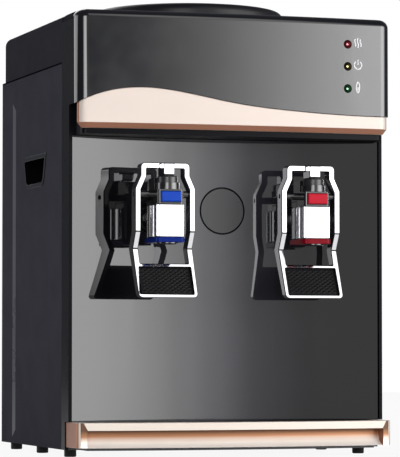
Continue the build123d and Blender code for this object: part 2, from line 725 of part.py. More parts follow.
# Base trim: a bowed skirt with a band along its top and a cove below
with BuildPart() as base_trim:
    with BuildSketch(Plane.XY.offset(BASE_BOTTOM)):
        add(base_plan(0, BASE_SIDE_DEPTH))
    extrude(amount=BASE_TOP - BASE_BOTTOM)
    with BuildSketch(Plane.XY.offset(BASE_BOTTOM)):
        add(base_plan(BASE_THICKNESS, BASE_SIDE_DEPTH + WALL))
    extrude(amount=BASE_TOP - BASE_BOTTOM, mode=Mode.SUBTRACT)
    band_bottom = BASE_TOP - BASE_BAND
    cove_axis = Axis((0, BASE_FRONT + BASE_ARC, 0), (0, 0, 1))
    cove_sweep = degrees(asin((BASE_HALF - COVE_END_MARGIN) / BASE_ARC))
    with BuildSketch(Plane.YZ) as cove:
        with BuildLine():
            top = (BASE_FRONT + COVE_DEPTH, band_bottom)
            foot = (BASE_FRONT + COVE_LEDGE, BASE_BOTTOM)
            hollow = SagittaArc(top, foot, COVE_SAG)
            Polyline(foot, (BASE_FRONT - WALL, BASE_BOTTOM), (BASE_FRONT - WALL, band_bottom), top)
        make_face()
    revolve(axis=cove_axis, revolution_arc=cove_sweep, mode=Mode.SUBTRACT)
    revolve(cove.sketch, axis=cove_axis, revolution_arc=-cove_sweep, mode=Mode.SUBTRACT)
save(base_trim.part, "base_trim")

# Indicator lenses and the small board behind them
for name, height in zip(("red_lens", "amber_lens", "green_lens"), LENS_HEIGHTS):
    with BuildPart() as lens:
        with Locations(facing_back(LENS_X, LENS_FACE - LENS_PROUD, height)):
            Cylinder(LENS_RADIUS, BOARD_FRONT - LENS_FACE + LENS_PROUD - TOUCH, align=UPRIGHT)
        fillet(lens.edges().sort_by(Axis.Y)[0], radius=2 * LENS_PROUD)
    save(lens.part, name)

with BuildPart() as indicator_board:
    board_height = LENS_HEIGHTS[0] - LENS_HEIGHTS[-1] + 2 * BOARD_MARGIN
    with Locations((LENS_X, BOARD_FRONT, LENS_HEIGHTS[-1] - BOARD_MARGIN)):
        Box(BOARD_WIDTH, BOARD_THICKNESS, board_height, align=STANDING)
save(indicator_board.part, "indicator_board")

# Top cover with posts that carry the cold tank
with BuildPart() as top_cover:
    cover_width = BODY_WIDTH - 2 * COVER_INSET
    cover_front = SHELL_DEPTH + FIT_GAP
    with Locations((0, cover_front, COVER_BOTTOM)):
        Box(cover_width, COVER_BACK - cover_front, COVER_HEIGHT, align=STANDING)
    fillet(top_cover.edges().filter_by(Axis.Z).group_by(Axis.Y)[-1], radius=COVER_EDGE_RADIUS)
    fillet(top_cover.faces().sort_by(Axis.Z)[-1].edges().sort_by(Axis.Y)[1:], radius=COVER_EDGE_RADIUS)
    with Locations((0, cover_front, COVER_BOTTOM)):
        Box(
            cover_width - 2 * WALL,
            COVER_BACK - cover_front - WALL,
            COVER_HEIGHT - HEADER_TOP_WALL,
            align=STANDING,
            mode=Mode.SUBTRACT,
        )
    for x, y in POST_PLACES:
        with Locations((x, y, COLD_TOP + COLD_FLANGE + TOUCH)):
            Cylinder(POST_RADIUS, TOP_HEIGHT - COLD_TOP - COLD_FLANGE - WALL, align=UPRIGHT)
    with Locations((0, BOTTLE_Y, TOP_HEIGHT)):
        Cylinder(SEAT_HOLE_RADIUS, 2 * COVER_HEIGHT, mode=Mode.SUBTRACT)
save(top_cover.part, "top_cover")

# Bottle seat: raised collar, funnel, neck guide and feed probe, lifted out for cleaning
with BuildPart() as bottle_seat:
    collar_top = TOP_HEIGHT + COLLAR_RISE
    mouth = COLLAR_RADIUS - COLLAR_LIP
    neck_top = TOP_HEIGHT - NECK_TOP_DROP
    neck_bottom = neck_top - NECK_GUIDE_LENGTH
    seat_bottom = TOP_HEIGHT + TOUCH
    neck_outer = NECK_BORE_RADIUS + SEAT_WALL
    funnel_run = (mouth - NECK_BORE_RADIUS) / (collar_top - neck_top)
    funnel_outer = neck_outer + funnel_run * (seat_bottom - neck_top) + SEAT_WALL
    skirt = SEAT_HOLE_RADIUS - SEAT_CLEARANCE
    with BuildSketch(Plane((0, BOTTLE_Y, 0), x_dir=(1, 0, 0), z_dir=(0, -1, 0))) as seat_profile:
        with BuildLine():
            Polyline(
                (0, neck_bottom),
                (neck_outer, neck_bottom),
                (neck_outer, neck_top - SEAT_WALL),
                (funnel_outer, seat_bottom),
                (skirt - SEAT_WALL, seat_bottom),
                (skirt - SEAT_WALL, seat_bottom - SEAT_SKIRT),
                (skirt, seat_bottom - SEAT_SKIRT),
                (skirt, seat_bottom),
                (COLLAR_RADIUS, seat_bottom),
                (COLLAR_RADIUS, collar_top),
                (mouth, collar_top),
                (NECK_BORE_RADIUS, neck_top),
                (NECK_BORE_RADIUS, neck_top - NECK_SEAT_LENGTH),
                (NECK_BORE_RADIUS - NECK_STEP, neck_top - NECK_SEAT_LENGTH),
                (NECK_BORE_RADIUS - NECK_STEP, neck_bottom + SEAT_FLOOR),
                (PROBE_RADIUS, neck_bottom + SEAT_FLOOR),
                (PROBE_RADIUS, neck_bottom + SEAT_FLOOR + PROBE_HEIGHT - PROBE_RADIUS),
                (0, neck_bottom + SEAT_FLOOR + PROBE_HEIGHT),
                close=True,
            )
        make_face()
        fillet(seat_profile.vertices().group_by(Axis.X)[-1].sort_by(Axis.Z)[-1], radius=COLLAR_ROUND)
    revolve(axis=Axis((0, BOTTLE_Y, 0), (0, 0, 1)))
    with Locations((0, BOTTLE_Y, neck_bottom)):
        with PolarLocations((NECK_BORE_RADIUS - NECK_STEP + PROBE_RADIUS) / 2, 6):
            Cylinder(SEAT_PORT_RADIUS, 3 * SEAT_FLOOR, mode=Mode.SUBTRACT)
save(bottle_seat.part, "bottle_seat")

# Side panels with a pressed field, a flange for the rear panel and a handle cup
with BuildPart() as right_side_panel:
    side_front = SHELL_DEPTH + FIT_GAP
    with Locations((HALF, side_front, FOOT_HEIGHT)):
        Box(
            SIDE_THICKNESS,
            BODY_DEPTH - side_front,
            COVER_BOTTOM - FIT_GAP - FOOT_HEIGHT,
            align=(Align.MAX, Align.MIN, Align.MIN),
        )
    field_middle = ((FIELD_FRONT + FIELD_BACK) / 2, (FIELD_BOTTOM + FIELD_TOP) / 2)
    for depth in (0, FIELD_DEPTH):
        slope = 2 * FIELD_SLOPE * depth / FIELD_DEPTH
        with BuildSketch(facing_right(HALF - depth, 0, 0)):
            with Locations(field_middle):
                Rectangle(FIELD_BACK - FIELD_FRONT - slope, FIELD_TOP - FIELD_BOTTOM - slope)
    loft(ruled=True, mode=Mode.SUBTRACT)
    with BuildSketch(facing_right(HALF, HANDLE_Y, HANDLE_TOP)):
        add(handle_outline(FIT_GAP))
    extrude(amount=-2 * SIDE_THICKNESS, mode=Mode.SUBTRACT)
    with Locations((HALF - SIDE_THICKNESS, REAR_INNER - TOUCH, PAN_TOP + FIT_GAP)):
        Box(
            REAR_FLANGE_WIDTH,
            SIDE_THICKNESS,
            COVER_BOTTOM - PAN_TOP - WALL,
            align=(Align.MAX, Align.MAX, Align.MIN),
        )
    for x, height in SCREW_PLACES[len(SCREW_ROWS):]:
        with Locations(facing_back(x, REAR_INNER, height)):
            Cylinder(SCREW_RADIUS + TOUCH, 4 * SIDE_THICKNESS, mode=Mode.SUBTRACT)
save(right_side_panel.part, "right_side_panel")

with BuildPart() as left_side_panel:
    mirror(right_side_panel.part, about=Plane.YZ)
save(left_side_panel.part, "left_side_panel")

with BuildPart() as right_handle_cup:
    lip_face = HALF - FIELD_DEPTH + TOUCH + HANDLE_LIP_THICKNESS
    with BuildSketch(facing_right(lip_face, HANDLE_Y, HANDLE_TOP)):
        add(handle_outline(HANDLE_LIP))
    extrude(amount=-HANDLE_LIP_THICKNESS)
    with BuildSketch(facing_right(lip_face, HANDLE_Y, HANDLE_TOP)):
        add(handle_outline(0))
    extrude(amount=-HANDLE_DEPTH)
    with BuildSketch(facing_right(lip_face, HANDLE_Y, HANDLE_TOP)):
        add(handle_outline(-HANDLE_WALL))
    extrude(amount=HANDLE_WALL - HANDLE_DEPTH, mode=Mode.SUBTRACT)
save(right_handle_cup.part, "right_handle_cup")

with BuildPart() as left_handle_cup:
    mirror(right_handle_cup.part, about=Plane.YZ)
save(left_handle_cup.part, "left_handle_cup")

# Base pan on six feet
with BuildPart() as base_pan:
    with BuildSketch(Plane.XY.offset(FOOT_HEIGHT)):
        with Locations((0, BASE_SIDE_DEPTH)):
            Rectangle(2 * PAN_HALF, COVER_BACK - BASE_SIDE_DEPTH, align=(Align.CENTER, Align.MIN))
        add(base_plan(BASE_THICKNESS + FIT_GAP, SHELL_DEPTH))
    extrude(amount=PAN_THICKNESS)
    with Locations((POWER_X, POWER_Y, PAN_TOP)):
        with GridLocations(POWER_WIDTH - 2 * STANDOFF_MARGIN, POWER_LENGTH - 2 * STANDOFF_MARGIN, 2, 2):
            Cylinder(STANDOFF_RADIUS, STANDOFF_HEIGHT, align=UPRIGHT)
save(base_pan.part, "base_pan")

with BuildPart() as feet:
    for row in FOOT_ROWS:
        with Locations((HALF - FOOT_INSET, row, FOOT_HEIGHT), (FOOT_INSET - HALF, row, FOOT_HEIGHT)):
            Cylinder(FOOT_RADIUS, FOOT_HEIGHT, align=HANGING)
    chamfer(feet.faces().group_by(Axis.Z)[0].edges(), length=FOOT_RADIUS / 8)
save(feet.part, "feet")

# Rear panel with fan vents, lower vents and cut-outs, set in between the side panels
with BuildPart() as rear_panel:
    rear_width = BODY_WIDTH - 2 * (SIDE_THICKNESS + FIT_GAP)
    rear_top = COVER_BOTTOM - FIT_GAP
    with Locations((0, REAR_INNER, PAN_TOP + TOUCH)):
        Box(rear_width, REAR_THICKNESS, rear_top - PAN_TOP - TOUCH, align=STANDING)
    with Locations((0, REAR_INNER, rear_top)):
        Box(rear_width, COVER_BACK - REAR_INNER, REAR_THICKNESS, align=(Align.CENTER, Align.MIN, Align.MAX))
    with BuildSketch(facing_back(0, REAR_INNER, 0)):
        with Locations((0, -COOLER_HEIGHT)):
            with GridLocations(VENT_PITCH, VENT_PITCH, VENT_COUNT, 1):
                SlotOverall(VENT_LENGTH, VENT_WIDTH, rotation=90)
        with Locations((LOWER_VENT_X, -LOWER_VENT_HEIGHT)):
            with GridLocations(VENT_PITCH, VENT_PITCH, LOWER_VENT_COUNT, 1):
                SlotOverall(LOWER_VENT_LENGTH, VENT_WIDTH, rotation=90)
        with Locations(*[(x, -SWITCH_HEIGHT) for x in SWITCH_XS]):
            Rectangle(SWITCH_BODY_WIDTH + FIT_GAP, SWITCH_BODY_HEIGHT + FIT_GAP)
        with Locations((HOT_X, -HOT_PORT_HEIGHT)):
            Circle(DRAIN_RADIUS + DRAIN_CLEARANCE)
        with Locations((GLAND_X, -GLAND_HEIGHT)):
            Circle(GLAND_RADIUS + TOUCH)
        with Locations(*[(x, -height) for x, height in SCREW_PLACES]):
            Circle(SCREW_RADIUS + FIT_GAP)
    extrude(amount=REAR_THICKNESS, mode=Mode.SUBTRACT)
save(rear_panel.part, "rear_panel")

with BuildPart() as rear_screws:
    for x, height in SCREW_PLACES:
        with Locations(facing_back(x, REAR_FACE + TOUCH, height)):
            Cylinder(SCREW_HEAD_RADIUS, SCREW_HEAD, align=UPRIGHT)
            Cylinder(SCREW_RADIUS, SCREW_LENGTH, align=HANGING)
save(rear_screws.part, "rear_screws")

# Rear rocker switches for heating and cooling
with BuildPart() as switch_housings:
    for x in SWITCH_XS:
        with Locations((x, REAR_FACE + TOUCH, SWITCH_HEIGHT)):
            Box(
                SWITCH_BODY_WIDTH + 2 * SWITCH_LIP,
                SWITCH_FLANGE,
                SWITCH_BODY_HEIGHT + 2 * SWITCH_LIP,
                align=(Align.CENTER, Align.MIN, Align.CENTER),
            )
        with Locations((x, REAR_FACE + SWITCH_FLANGE, SWITCH_HEIGHT)):
            Box(
                SWITCH_BODY_WIDTH,
                ROCKER_ROOM + SWITCH_WALL + ROCKER_FACE / 2,
                SWITCH_BODY_HEIGHT,
                align=(Align.CENTER, Align.MAX, Align.CENTER),
            )
        with Locations(facing_right(x, ROCKER_Y, SWITCH_HEIGHT)):
            Cylinder(ROCKER_ROOM, ROCKER_WIDTH + 2 * ROCKER_GAP, mode=Mode.SUBTRACT)
            Cylinder(
                ROCKER_PIN_RADIUS + PIN_CLEARANCE,
                ROCKER_WIDTH + 2 * (ROCKER_GAP + ROCKER_PIN_LENGTH),
                mode=Mode.SUBTRACT,
            )
        with Locations((x, ROCKER_Y, SWITCH_HEIGHT)):
            Box(
                ROCKER_WIDTH + 2 * ROCKER_GAP,
                2 * ROCKER_FACE,
                2 * ROCKER_ROOM,
                align=(Align.CENTER, Align.MIN, Align.CENTER),
                mode=Mode.SUBTRACT,
            )
save(switch_housings.part, "switch_housings")

with BuildPart() as rocker:
    with BuildSketch(Plane.YZ):
        Circle(ROCKER_RADIUS)
        wing = 2 * ROCKER_RADIUS
        wing_back = ROCKER_FACE - wing * tan(radians(ROCKER_TILT))
        with BuildLine():
            Polyline((ROCKER_FACE, 0), (wing_back, wing), (wing, wing), (wing, -wing), (wing_back, -wing), close=True)
        make_face(mode=Mode.SUBTRACT)
    extrude(amount=ROCKER_WIDTH / 2, both=True)
    with Locations(Plane.YZ):
        Cylinder(ROCKER_PIN_RADIUS, ROCKER_WIDTH + 2 * ROCKER_GAP + ROCKER_PIN_LENGTH)
for name, x in zip(("heat_switch", "cool_switch"), SWITCH_XS):
    save(rocker.part, name, Location((x, ROCKER_Y, SWITCH_HEIGHT), (ROCKER_TILT, 0, 0)))

with BuildPart() as cord_gland:
    with Locations(facing_back(GLAND_X, REAR_FACE + TOUCH, GLAND_HEIGHT)):
        Cylinder(GLAND_FLANGE, GLAND_HEAD, align=UPRIGHT)
        Cylinder(GLAND_RADIUS, GLAND_LENGTH, align=HANGING)
    fillet(cord_gland.edges().sort_by(Axis.Y)[-1], radius=GLAND_HEAD / 2)
    with Locations(facing_back(GLAND_X, REAR_FACE, GLAND_HEIGHT)):
        Cylinder(GLAND_BORE, 4 * GLAND_LENGTH, mode=Mode.SUBTRACT)
save(cord_gland.part, "cord_gland")

# Cold tank hung from the top cover, in its foam jacket
with BuildPart() as cold_tank:
    with Locations((0, BOTTLE_Y, COLD_TOP)):
        Cylinder(COLD_RADIUS, COLD_DEPTH, align=HANGING)
        Cylinder(COLD_FLANGE_RADIUS, COLD_FLANGE, align=UPRIGHT)
    for x, y in POST_PLACES:
        with Locations((x, y, COLD_TOP)):
            Cylinder(EAR_RADIUS, COLD_FLANGE, align=UPRIGHT)
    with Locations((COLD_SPIGOT_X, BOTTLE_Y, COLD_BOTTOM), (0, BOTTLE_Y + FEED_SPIGOT_Y, COLD_BOTTOM)):
        Cylinder(SPIGOT_RADIUS, SPIGOT_LENGTH, align=HANGING)
    with Locations((0, BOTTLE_Y, COLD_BOTTOM + COLD_WALL)):
        Cylinder(COLD_RADIUS - COLD_WALL, 2 * COLD_DEPTH, align=UPRIGHT, mode=Mode.SUBTRACT)
    with Locations((COLD_SPIGOT_X, BOTTLE_Y, COLD_BOTTOM), (0, BOTTLE_Y + FEED_SPIGOT_Y, COLD_BOTTOM)):
        Cylinder(SPIGOT_BORE_RADIUS, 3 * SPIGOT_LENGTH, mode=Mode.SUBTRACT)
save(cold_tank.part, "cold_tank")

with BuildPart() as cold_insulation:
    with Locations((0, BOTTLE_Y, COLD_TOP - TOUCH)):
        Cylinder(COLD_RADIUS + INSULATION, COLD_DEPTH + INSULATION, align=HANGING)
    with Locations((0, BOTTLE_Y, COLD_BOTTOM - TOUCH)):
        Cylinder(COLD_RADIUS + HEATER_GAP, 2 * COLD_DEPTH, align=UPRIGHT, mode=Mode.SUBTRACT)
    with Locations((COLD_SPIGOT_X, BOTTLE_Y, COLD_BOTTOM), (0, BOTTLE_Y + FEED_SPIGOT_Y, COLD_BOTTOM)):
        Cylinder(TUBE_RADIUS + FIT_GAP, 3 * SPIGOT_LENGTH, mode=Mode.SUBTRACT)
    with Locations((0, BOTTLE_Y, COOLER_HEIGHT)):
        Box(
            BLOCK_SIZE + 2 * FIT_GAP,
            BODY_DEPTH,
            BLOCK_SIZE + 2 * FIT_GAP,
            align=(Align.CENTER, Align.MIN, Align.CENTER),
            mode=Mode.SUBTRACT,
        )
save(cold_insulation.part, "cold_insulation")

# Thermoelectric cooler: block against the tank, module, finned sink and fan
with BuildPart() as cooling_module:
    with Locations((0, BLOCK_BACK, COOLER_HEIGHT)):
        Box(BLOCK_SIZE, COLD_RADIUS, BLOCK_SIZE, align=(Align.CENTER, Align.MAX, Align.CENTER))
        Box(MODULE_SIZE, MODULE_THICKNESS, MODULE_SIZE, align=(Align.CENTER, Align.MIN, Align.CENTER))
    with Locations((0, BOTTLE_Y, COOLER_HEIGHT)):
        Cylinder(COLD_RADIUS + HEATER_GAP, COLD_DEPTH, mode=Mode.SUBTRACT)
save(cooling_module.part, "cooling_module")

with BuildPart() as heat_sink:
    with Locations((0, SINK_FRONT + TOUCH, COOLER_HEIGHT)):
        Box(SINK_SIZE, SINK_BASE, SINK_SIZE, align=(Align.CENTER, Align.MIN, Align.CENTER))
    fin_pitch = (SINK_SIZE - FIN_THICKNESS) / (FIN_COUNT - 1)
    with BuildSketch(facing_back(0, SINK_FRONT + SINK_BASE, COOLER_HEIGHT)):
        with GridLocations(fin_pitch, fin_pitch, FIN_COUNT, 1):
            Rectangle(FIN_THICKNESS, SINK_SIZE)
    extrude(amount=FAN_FRONT - TOUCH - SINK_FRONT - SINK_BASE)
save(heat_sink.part, "heat_sink")

with BuildPart() as fan_frame:
    with BuildSketch():
        RectangleRounded(FAN_SIZE, FAN_SIZE, FAN_CORNER_RADIUS)
        Circle(FAN_BORE_RADIUS, mode=Mode.SUBTRACT)
    extrude(amount=FAN_THICKNESS)
    with BuildSketch(Plane.XY.offset(FAN_THICKNESS - FAN_PLATE)):
        Circle(FAN_HUB_RADIUS)
        with PolarLocations((FAN_HUB_RADIUS + FAN_BORE_RADIUS) / 2, 4, start_angle=45):
            Rectangle(FAN_BORE_RADIUS - FAN_HUB_RADIUS + 2 * FAN_PLATE, FAN_STRUT_WIDTH)
    extrude(amount=FAN_PLATE)
    with Locations((0, 0, FAN_THICKNESS)):
        Cylinder(FAN_SHAFT_RADIUS + FAN_SHAFT_CLEARANCE, 4 * FAN_PLATE, mode=Mode.SUBTRACT)
save(fan_frame.part, "fan_frame", Location(facing_back(0, FAN_FRONT, COOLER_HEIGHT)))

with BuildPart() as fan_blade:
    impeller_depth = FAN_THICKNESS - FAN_PLATE - 2 * FAN_GAP
    chord = (impeller_depth - FAN_BLADE_THICKNESS) / sin(radians(FAN_ROOT_PITCH))
    for radius, pitch in ((FAN_HUB_RADIUS - FAN_BLADE_THICKNESS, FAN_ROOT_PITCH), (FAN_BLADE_RADIUS, FAN_TIP_PITCH)):
        with BuildSketch(facing_right(radius, 0, FAN_GAP + impeller_depth / 2)):
            Rectangle(chord, FAN_BLADE_THICKNESS, rotation=pitch)
    loft(ruled=True)

with BuildPart() as fan_impeller:
    with Locations((0, 0, FAN_GAP)):
        Cylinder(FAN_HUB_RADIUS, impeller_depth, align=UPRIGHT)
        Cylinder(FAN_SHAFT_RADIUS, FAN_THICKNESS - FAN_GAP, align=UPRIGHT)
    with PolarLocations(0, FAN_BLADES):
        add(fan_blade.part)
save(fan_impeller.part, "fan_impeller", Location(facing_back(0, FAN_FRONT, COOLER_HEIGHT)))

# Push-lever tap, built once in the middle and saved at both places
with BuildPart() as tap_body:
    with BuildSketch(Plane.XY.offset(CHROME_BOTTOM)):
        add(tap_outline(0))
        with Locations(*[(side * TAP_WIDTH / 2, y) for side in (-1, 1) for y in GROOVE_PLACES]):
            Rectangle(2 * GROOVE_DEPTH, GROOVE_WIDTH, mode=Mode.SUBTRACT)
    extrude(amount=CHROME_HEIGHT)
    with BuildSketch(Plane.XY.offset(CHROME_TOP)):
        add(tap_outline(0))
        with Locations((0, TOWER_FRONT)):
            Rectangle(2 * TAP_WIDTH, TAP_LENGTH, align=(Align.CENTER, Align.MIN), mode=Mode.INTERSECT)
    extrude(amount=REAR_STEP)
    with Locations((0, STEM_Y, CHROME_BOTTOM)):
        Cylinder(SPOUT_RADIUS, RING_HEIGHT + SPOUT_DROP, align=HANGING)
    with Locations(facing_back(0, -TAP_BACK - TAP_EDGE_RADIUS, SHANK_Z)):
        Cylinder(SHANK_RADIUS, SHANK_END + TAP_BACK + TAP_EDGE_RADIUS, align=UPRIGHT)
        Cylinder(BARB_RADIUS, BARB_END + TAP_BACK + TAP_EDGE_RADIUS, align=UPRIGHT)
    with Locations(facing_back(0, GASKET_FRONT, SHANK_Z)):
        Cylinder(SHANK_FLANGE_RADIUS, SHANK_FLANGE, align=HANGING)
    with Locations((0, STEM_Y, SEAT_TOP)):
        Cylinder(CHAMBER_RADIUS, CHROME_TOP - SEAT_TOP, align=UPRIGHT, mode=Mode.SUBTRACT)
        Cylinder(SEAT_BORE_RADIUS, SEAT_BORE_LENGTH, align=HANGING, mode=Mode.SUBTRACT)
    with Locations((0, STEM_Y, SEAT_BOTTOM)):
        Cylinder(SPOUT_BORE_RADIUS, SEAT_BOTTOM, align=HANGING, mode=Mode.SUBTRACT)
    with Locations(facing_back(0, STEM_Y, SHANK_Z)):
        Cylinder(SHANK_BORE_RADIUS, SHANK_END - STEM_Y, align=UPRIGHT, mode=Mode.SUBTRACT)
        Cylinder(SPIGOT_BORE_RADIUS, BODY_DEPTH, align=UPRIGHT, mode=Mode.SUBTRACT)

with BuildPart() as tap_head:
    with BuildSketch(Plane.XY.offset(CHROME_TOP + TOUCH)):
        add(tap_outline(0))
    extrude(amount=HEAD_HEIGHT - TOUCH)
    with BuildSketch(Plane.XY.offset(HEAD_TOP)):
        with Locations((0, TOWER_FRONT)):
            Rectangle(TOWER_WIDTH, -TAP_BACK - TOWER_FRONT, align=(Align.CENTER, Align.MIN))
        with Locations((0, STEM_Y)):
            Circle(BONNET_RADIUS)
    extrude(amount=BONNET_HEIGHT)
    with Locations((0, TOWER_FRONT, HEAD_TOP)):
        Box(TOWER_WIDTH, -TAP_BACK - TOWER_FRONT, TOWER_HEIGHT - HEAD_HEIGHT, align=STANDING)
    with Locations(facing_right(0, LEVER_Y, PIVOT_Z)):
        Cylinder(BOSS_RADIUS, 2 * (LEVER_INNER - BOSS_GAP))
        Cylinder(PIN_RADIUS + TOUCH, 2 * LEVER_HALF_WIDTH, mode=Mode.SUBTRACT)
    with Locations((0, TOWER_FRONT - TOUCH, CHROME_TOP)):
        Box(2 * TAP_WIDTH, TAP_LENGTH, REAR_STEP + TOUCH, align=STANDING, mode=Mode.SUBTRACT)
    with Locations((0, STEM_Y, BONNET_BOTTOM)):
        Cylinder(BONNET_RADIUS - BONNET_WALL, 2 * BONNET_HEIGHT, align=UPRIGHT, mode=Mode.SUBTRACT)
        Cylinder(STEM_RADIUS + STEM_CLEARANCE, 2 * HEAD_HEIGHT, align=HANGING, mode=Mode.SUBTRACT)
    with Locations((0, -TAP_FRONT, BUTTON_Z)):
        Box(
            BUTTON_WIDTH + 2 * BUTTON_GAP,
            2 * BUTTON_ROOM,
            BUTTON_HEIGHT + 2 * BUTTON_GAP,
            mode=Mode.SUBTRACT,
        )

with BuildPart() as plunger:
    with Locations((0, STEM_Y, PLUNGER_BOTTOM)):
        Cylinder(PLUNGER_RADIUS, PLUNGER_TOP - PLUNGER_BOTTOM, align=UPRIGHT)
    chamfer(plunger.edges().sort_by(Axis.Z)[-1], length=PLUNGER_WALL / 2)
    with Locations((0, STEM_Y, SPRING_TOP)):
        Cylinder(SPRING_RADIUS + SPRING_WIRE, SPRING_TOP - PLUNGER_BOTTOM, align=HANGING, mode=Mode.SUBTRACT)
        Cylinder(STEM_RADIUS, SPRING_TOP - SEAL_BOTTOM, align=HANGING)

with BuildPart() as valve_seal:
    with Locations((0, STEM_Y, SEAL_TOP)):
        Cylinder(SEAL_RADIUS, SEAL_THICKNESS, align=HANGING)
        Cylinder(STEM_RADIUS + TOUCH, 2 * SEAL_THICKNESS, mode=Mode.SUBTRACT)

with BuildPart() as valve_spring:
    coil_bottom = BONNET_BOTTOM + SPRING_WIRE / 2 + TOUCH
    coil_height = SPRING_TOP - SPRING_WIRE / 2 - TOUCH - coil_bottom
    with BuildLine() as coil:
        Helix(coil_height / SPRING_TURNS, coil_height, SPRING_RADIUS, center=(0, STEM_Y, coil_bottom))
    with BuildSketch(Plane(coil.line @ 0, z_dir=coil.line % 0)):
        Circle(SPRING_WIRE / 2)
    sweep()

with BuildPart() as lever:
    with BuildSketch(Plane.XZ):
        add(lever_outline(0))
        add(lever_window(0), mode=Mode.SUBTRACT)
        with Locations((0, TAP_BASE + LEVER_CROSSBAR)):
            Rectangle(2 * LEVER_INNER, CROSSBAR_HEIGHT)
    extrude(amount=2 * TAP_FRONT)
    with BuildSketch(Plane.YZ):
        add(lever_side(LEVER_DEPTH, PADDLE_DEPTH))
    extrude(amount=BODY_WIDTH, both=True, mode=Mode.INTERSECT)
    with BuildSketch(Plane.YZ) as lug:
        with Locations((LEVER_Y, LUG_BOTTOM)):
            Rectangle(LUG_REACH, TAP_BASE + LEVER_TOP - LUG_TOP_DROP - LUG_BOTTOM, align=(Align.MAX, Align.MIN))
        fillet(lug.vertices().group_by(Axis.Y)[0], radius=LUG_NOSE_RADIUS)
    extrude(amount=LUG_HALF_WIDTH, both=True)
    with Locations(facing_right(0, LEVER_Y, PIVOT_Z)):
        Cylinder(PIN_RADIUS + PIN_CLEARANCE, BODY_WIDTH, mode=Mode.SUBTRACT)

with BuildPart() as lever_pad:
    with BuildSketch(Plane.XZ):
        add(lever_window(TOUCH))
        with Locations((0, TAP_BASE + LEVER_CROSSBAR - CROSSBAR_HEIGHT / 2 - TOUCH)):
            Rectangle(BODY_WIDTH, TOP_HEIGHT, align=(Align.CENTER, Align.MAX), mode=Mode.INTERSECT)
    extrude(amount=2 * TAP_FRONT)
    with BuildSketch(Plane.YZ):
        add(lever_side(PAD_THICKNESS, PAD_THICKNESS))
    extrude(amount=BODY_WIDTH, both=True, mode=Mode.INTERSECT)

with BuildPart() as lever_pin:
    with Locations(facing_right(0, LEVER_Y, PIVOT_Z)):
        Cylinder(PIN_RADIUS, 2 * (LEVER_HALF_WIDTH - PIN_RECESS))

with BuildPart() as lock_button:
    with Locations((0, BUTTON_FRONT, BUTTON_Z)):
        Box(BUTTON_WIDTH, BUTTON_DEPTH, BUTTON_HEIGHT, align=(Align.CENTER, Align.MIN, Align.CENTER))
    fillet(lock_button.faces().sort_by(Axis.Y)[0].edges(), radius=BUTTON_RADIUS)

with BuildPart() as colour_ring:
    with BuildSketch(Plane.XY.offset(CHROME_BOTTOM - TOUCH)):
        add(tap_outline(RING_MARGIN))
        with Locations((0, STEM_Y)):
            Circle(SPOUT_RADIUS + TOUCH, mode=Mode.SUBTRACT)
    extrude(amount=TOUCH - RING_HEIGHT)

for side, x in (("cold", -TAP_X), ("hot", TAP_X)):
    save(tap_body.part, f"{side}_tap_body", Location((x, 0, 0)))
    save(tap_head.part, f"{side}_tap_head", Location((x, 0, 0)))
    save(plunger.part, f"{side}_plunger", Location((x, 0, 0)))
    save(valve_seal.part, f"{side}_valve_seal", Location((x, 0, 0)))
    save(valve_spring.part, f"{side}_valve_spring", Location((x, 0, 0)))
    save(lever.part, f"{side}_lever", Location((x, 0, 0)))
    save(lever_pad.part, f"{side}_lever_pad", Location((x, 0, 0)))
    save(lever_pin.part, f"{side}_lever_pin", Location((x, 0, 0)))
    save(lock_button.part, f"{side}_lock_button", Location((x, 0, 0)))
    save(colour_ring.part, f"{side}_colour_ring", Location((x, 0, 0)))

with BuildPart() as tap_gaskets:
    for x in (-TAP_X, TAP_X):
        with Locations(facing_back(x, GASKET_FRONT + TOUCH, SHANK_Z)):
            Cylinder(SHANK_FLANGE_RADIUS, GASKET_THICKNESS - 2 * TOUCH, align=UPRIGHT)
            Cylinder(SHANK_RADIUS + TOUCH, 4 * GASKET_THICKNESS, mode=Mode.SUBTRACT)
save(tap_gaskets.part, "tap_gaskets")

with BuildPart() as tap_nuts:
    for x in (-TAP_X, TAP_X):
        with BuildSketch(facing_back(x, TAP_SEAT_BACK + TOUCH, SHANK_Z)):
            RegularPolygon(NUT_ACROSS_FLATS / 2, 6, major_radius=False)
            Circle(SHANK_RADIUS + TOUCH, mode=Mode.SUBTRACT)
        extrude(amount=NUT_LENGTH)
save(tap_nuts.part, "tap_nuts")

# Hot tank on its stand ring, with feed, outlet and drain pipes
with BuildPart() as hot_water:
    with Locations((HOT_X, HOT_Y, HOT_BOTTOM + HOT_WALL)):
        Cylinder(HOT_RADIUS - HOT_WALL, HOT_HEIGHT - 2 * HOT_WALL, align=UPRIGHT)
    fillet(hot_water.edges().filter_by(GeomType.CIRCLE), radius=HOT_DOME_RADIUS - HOT_WALL)

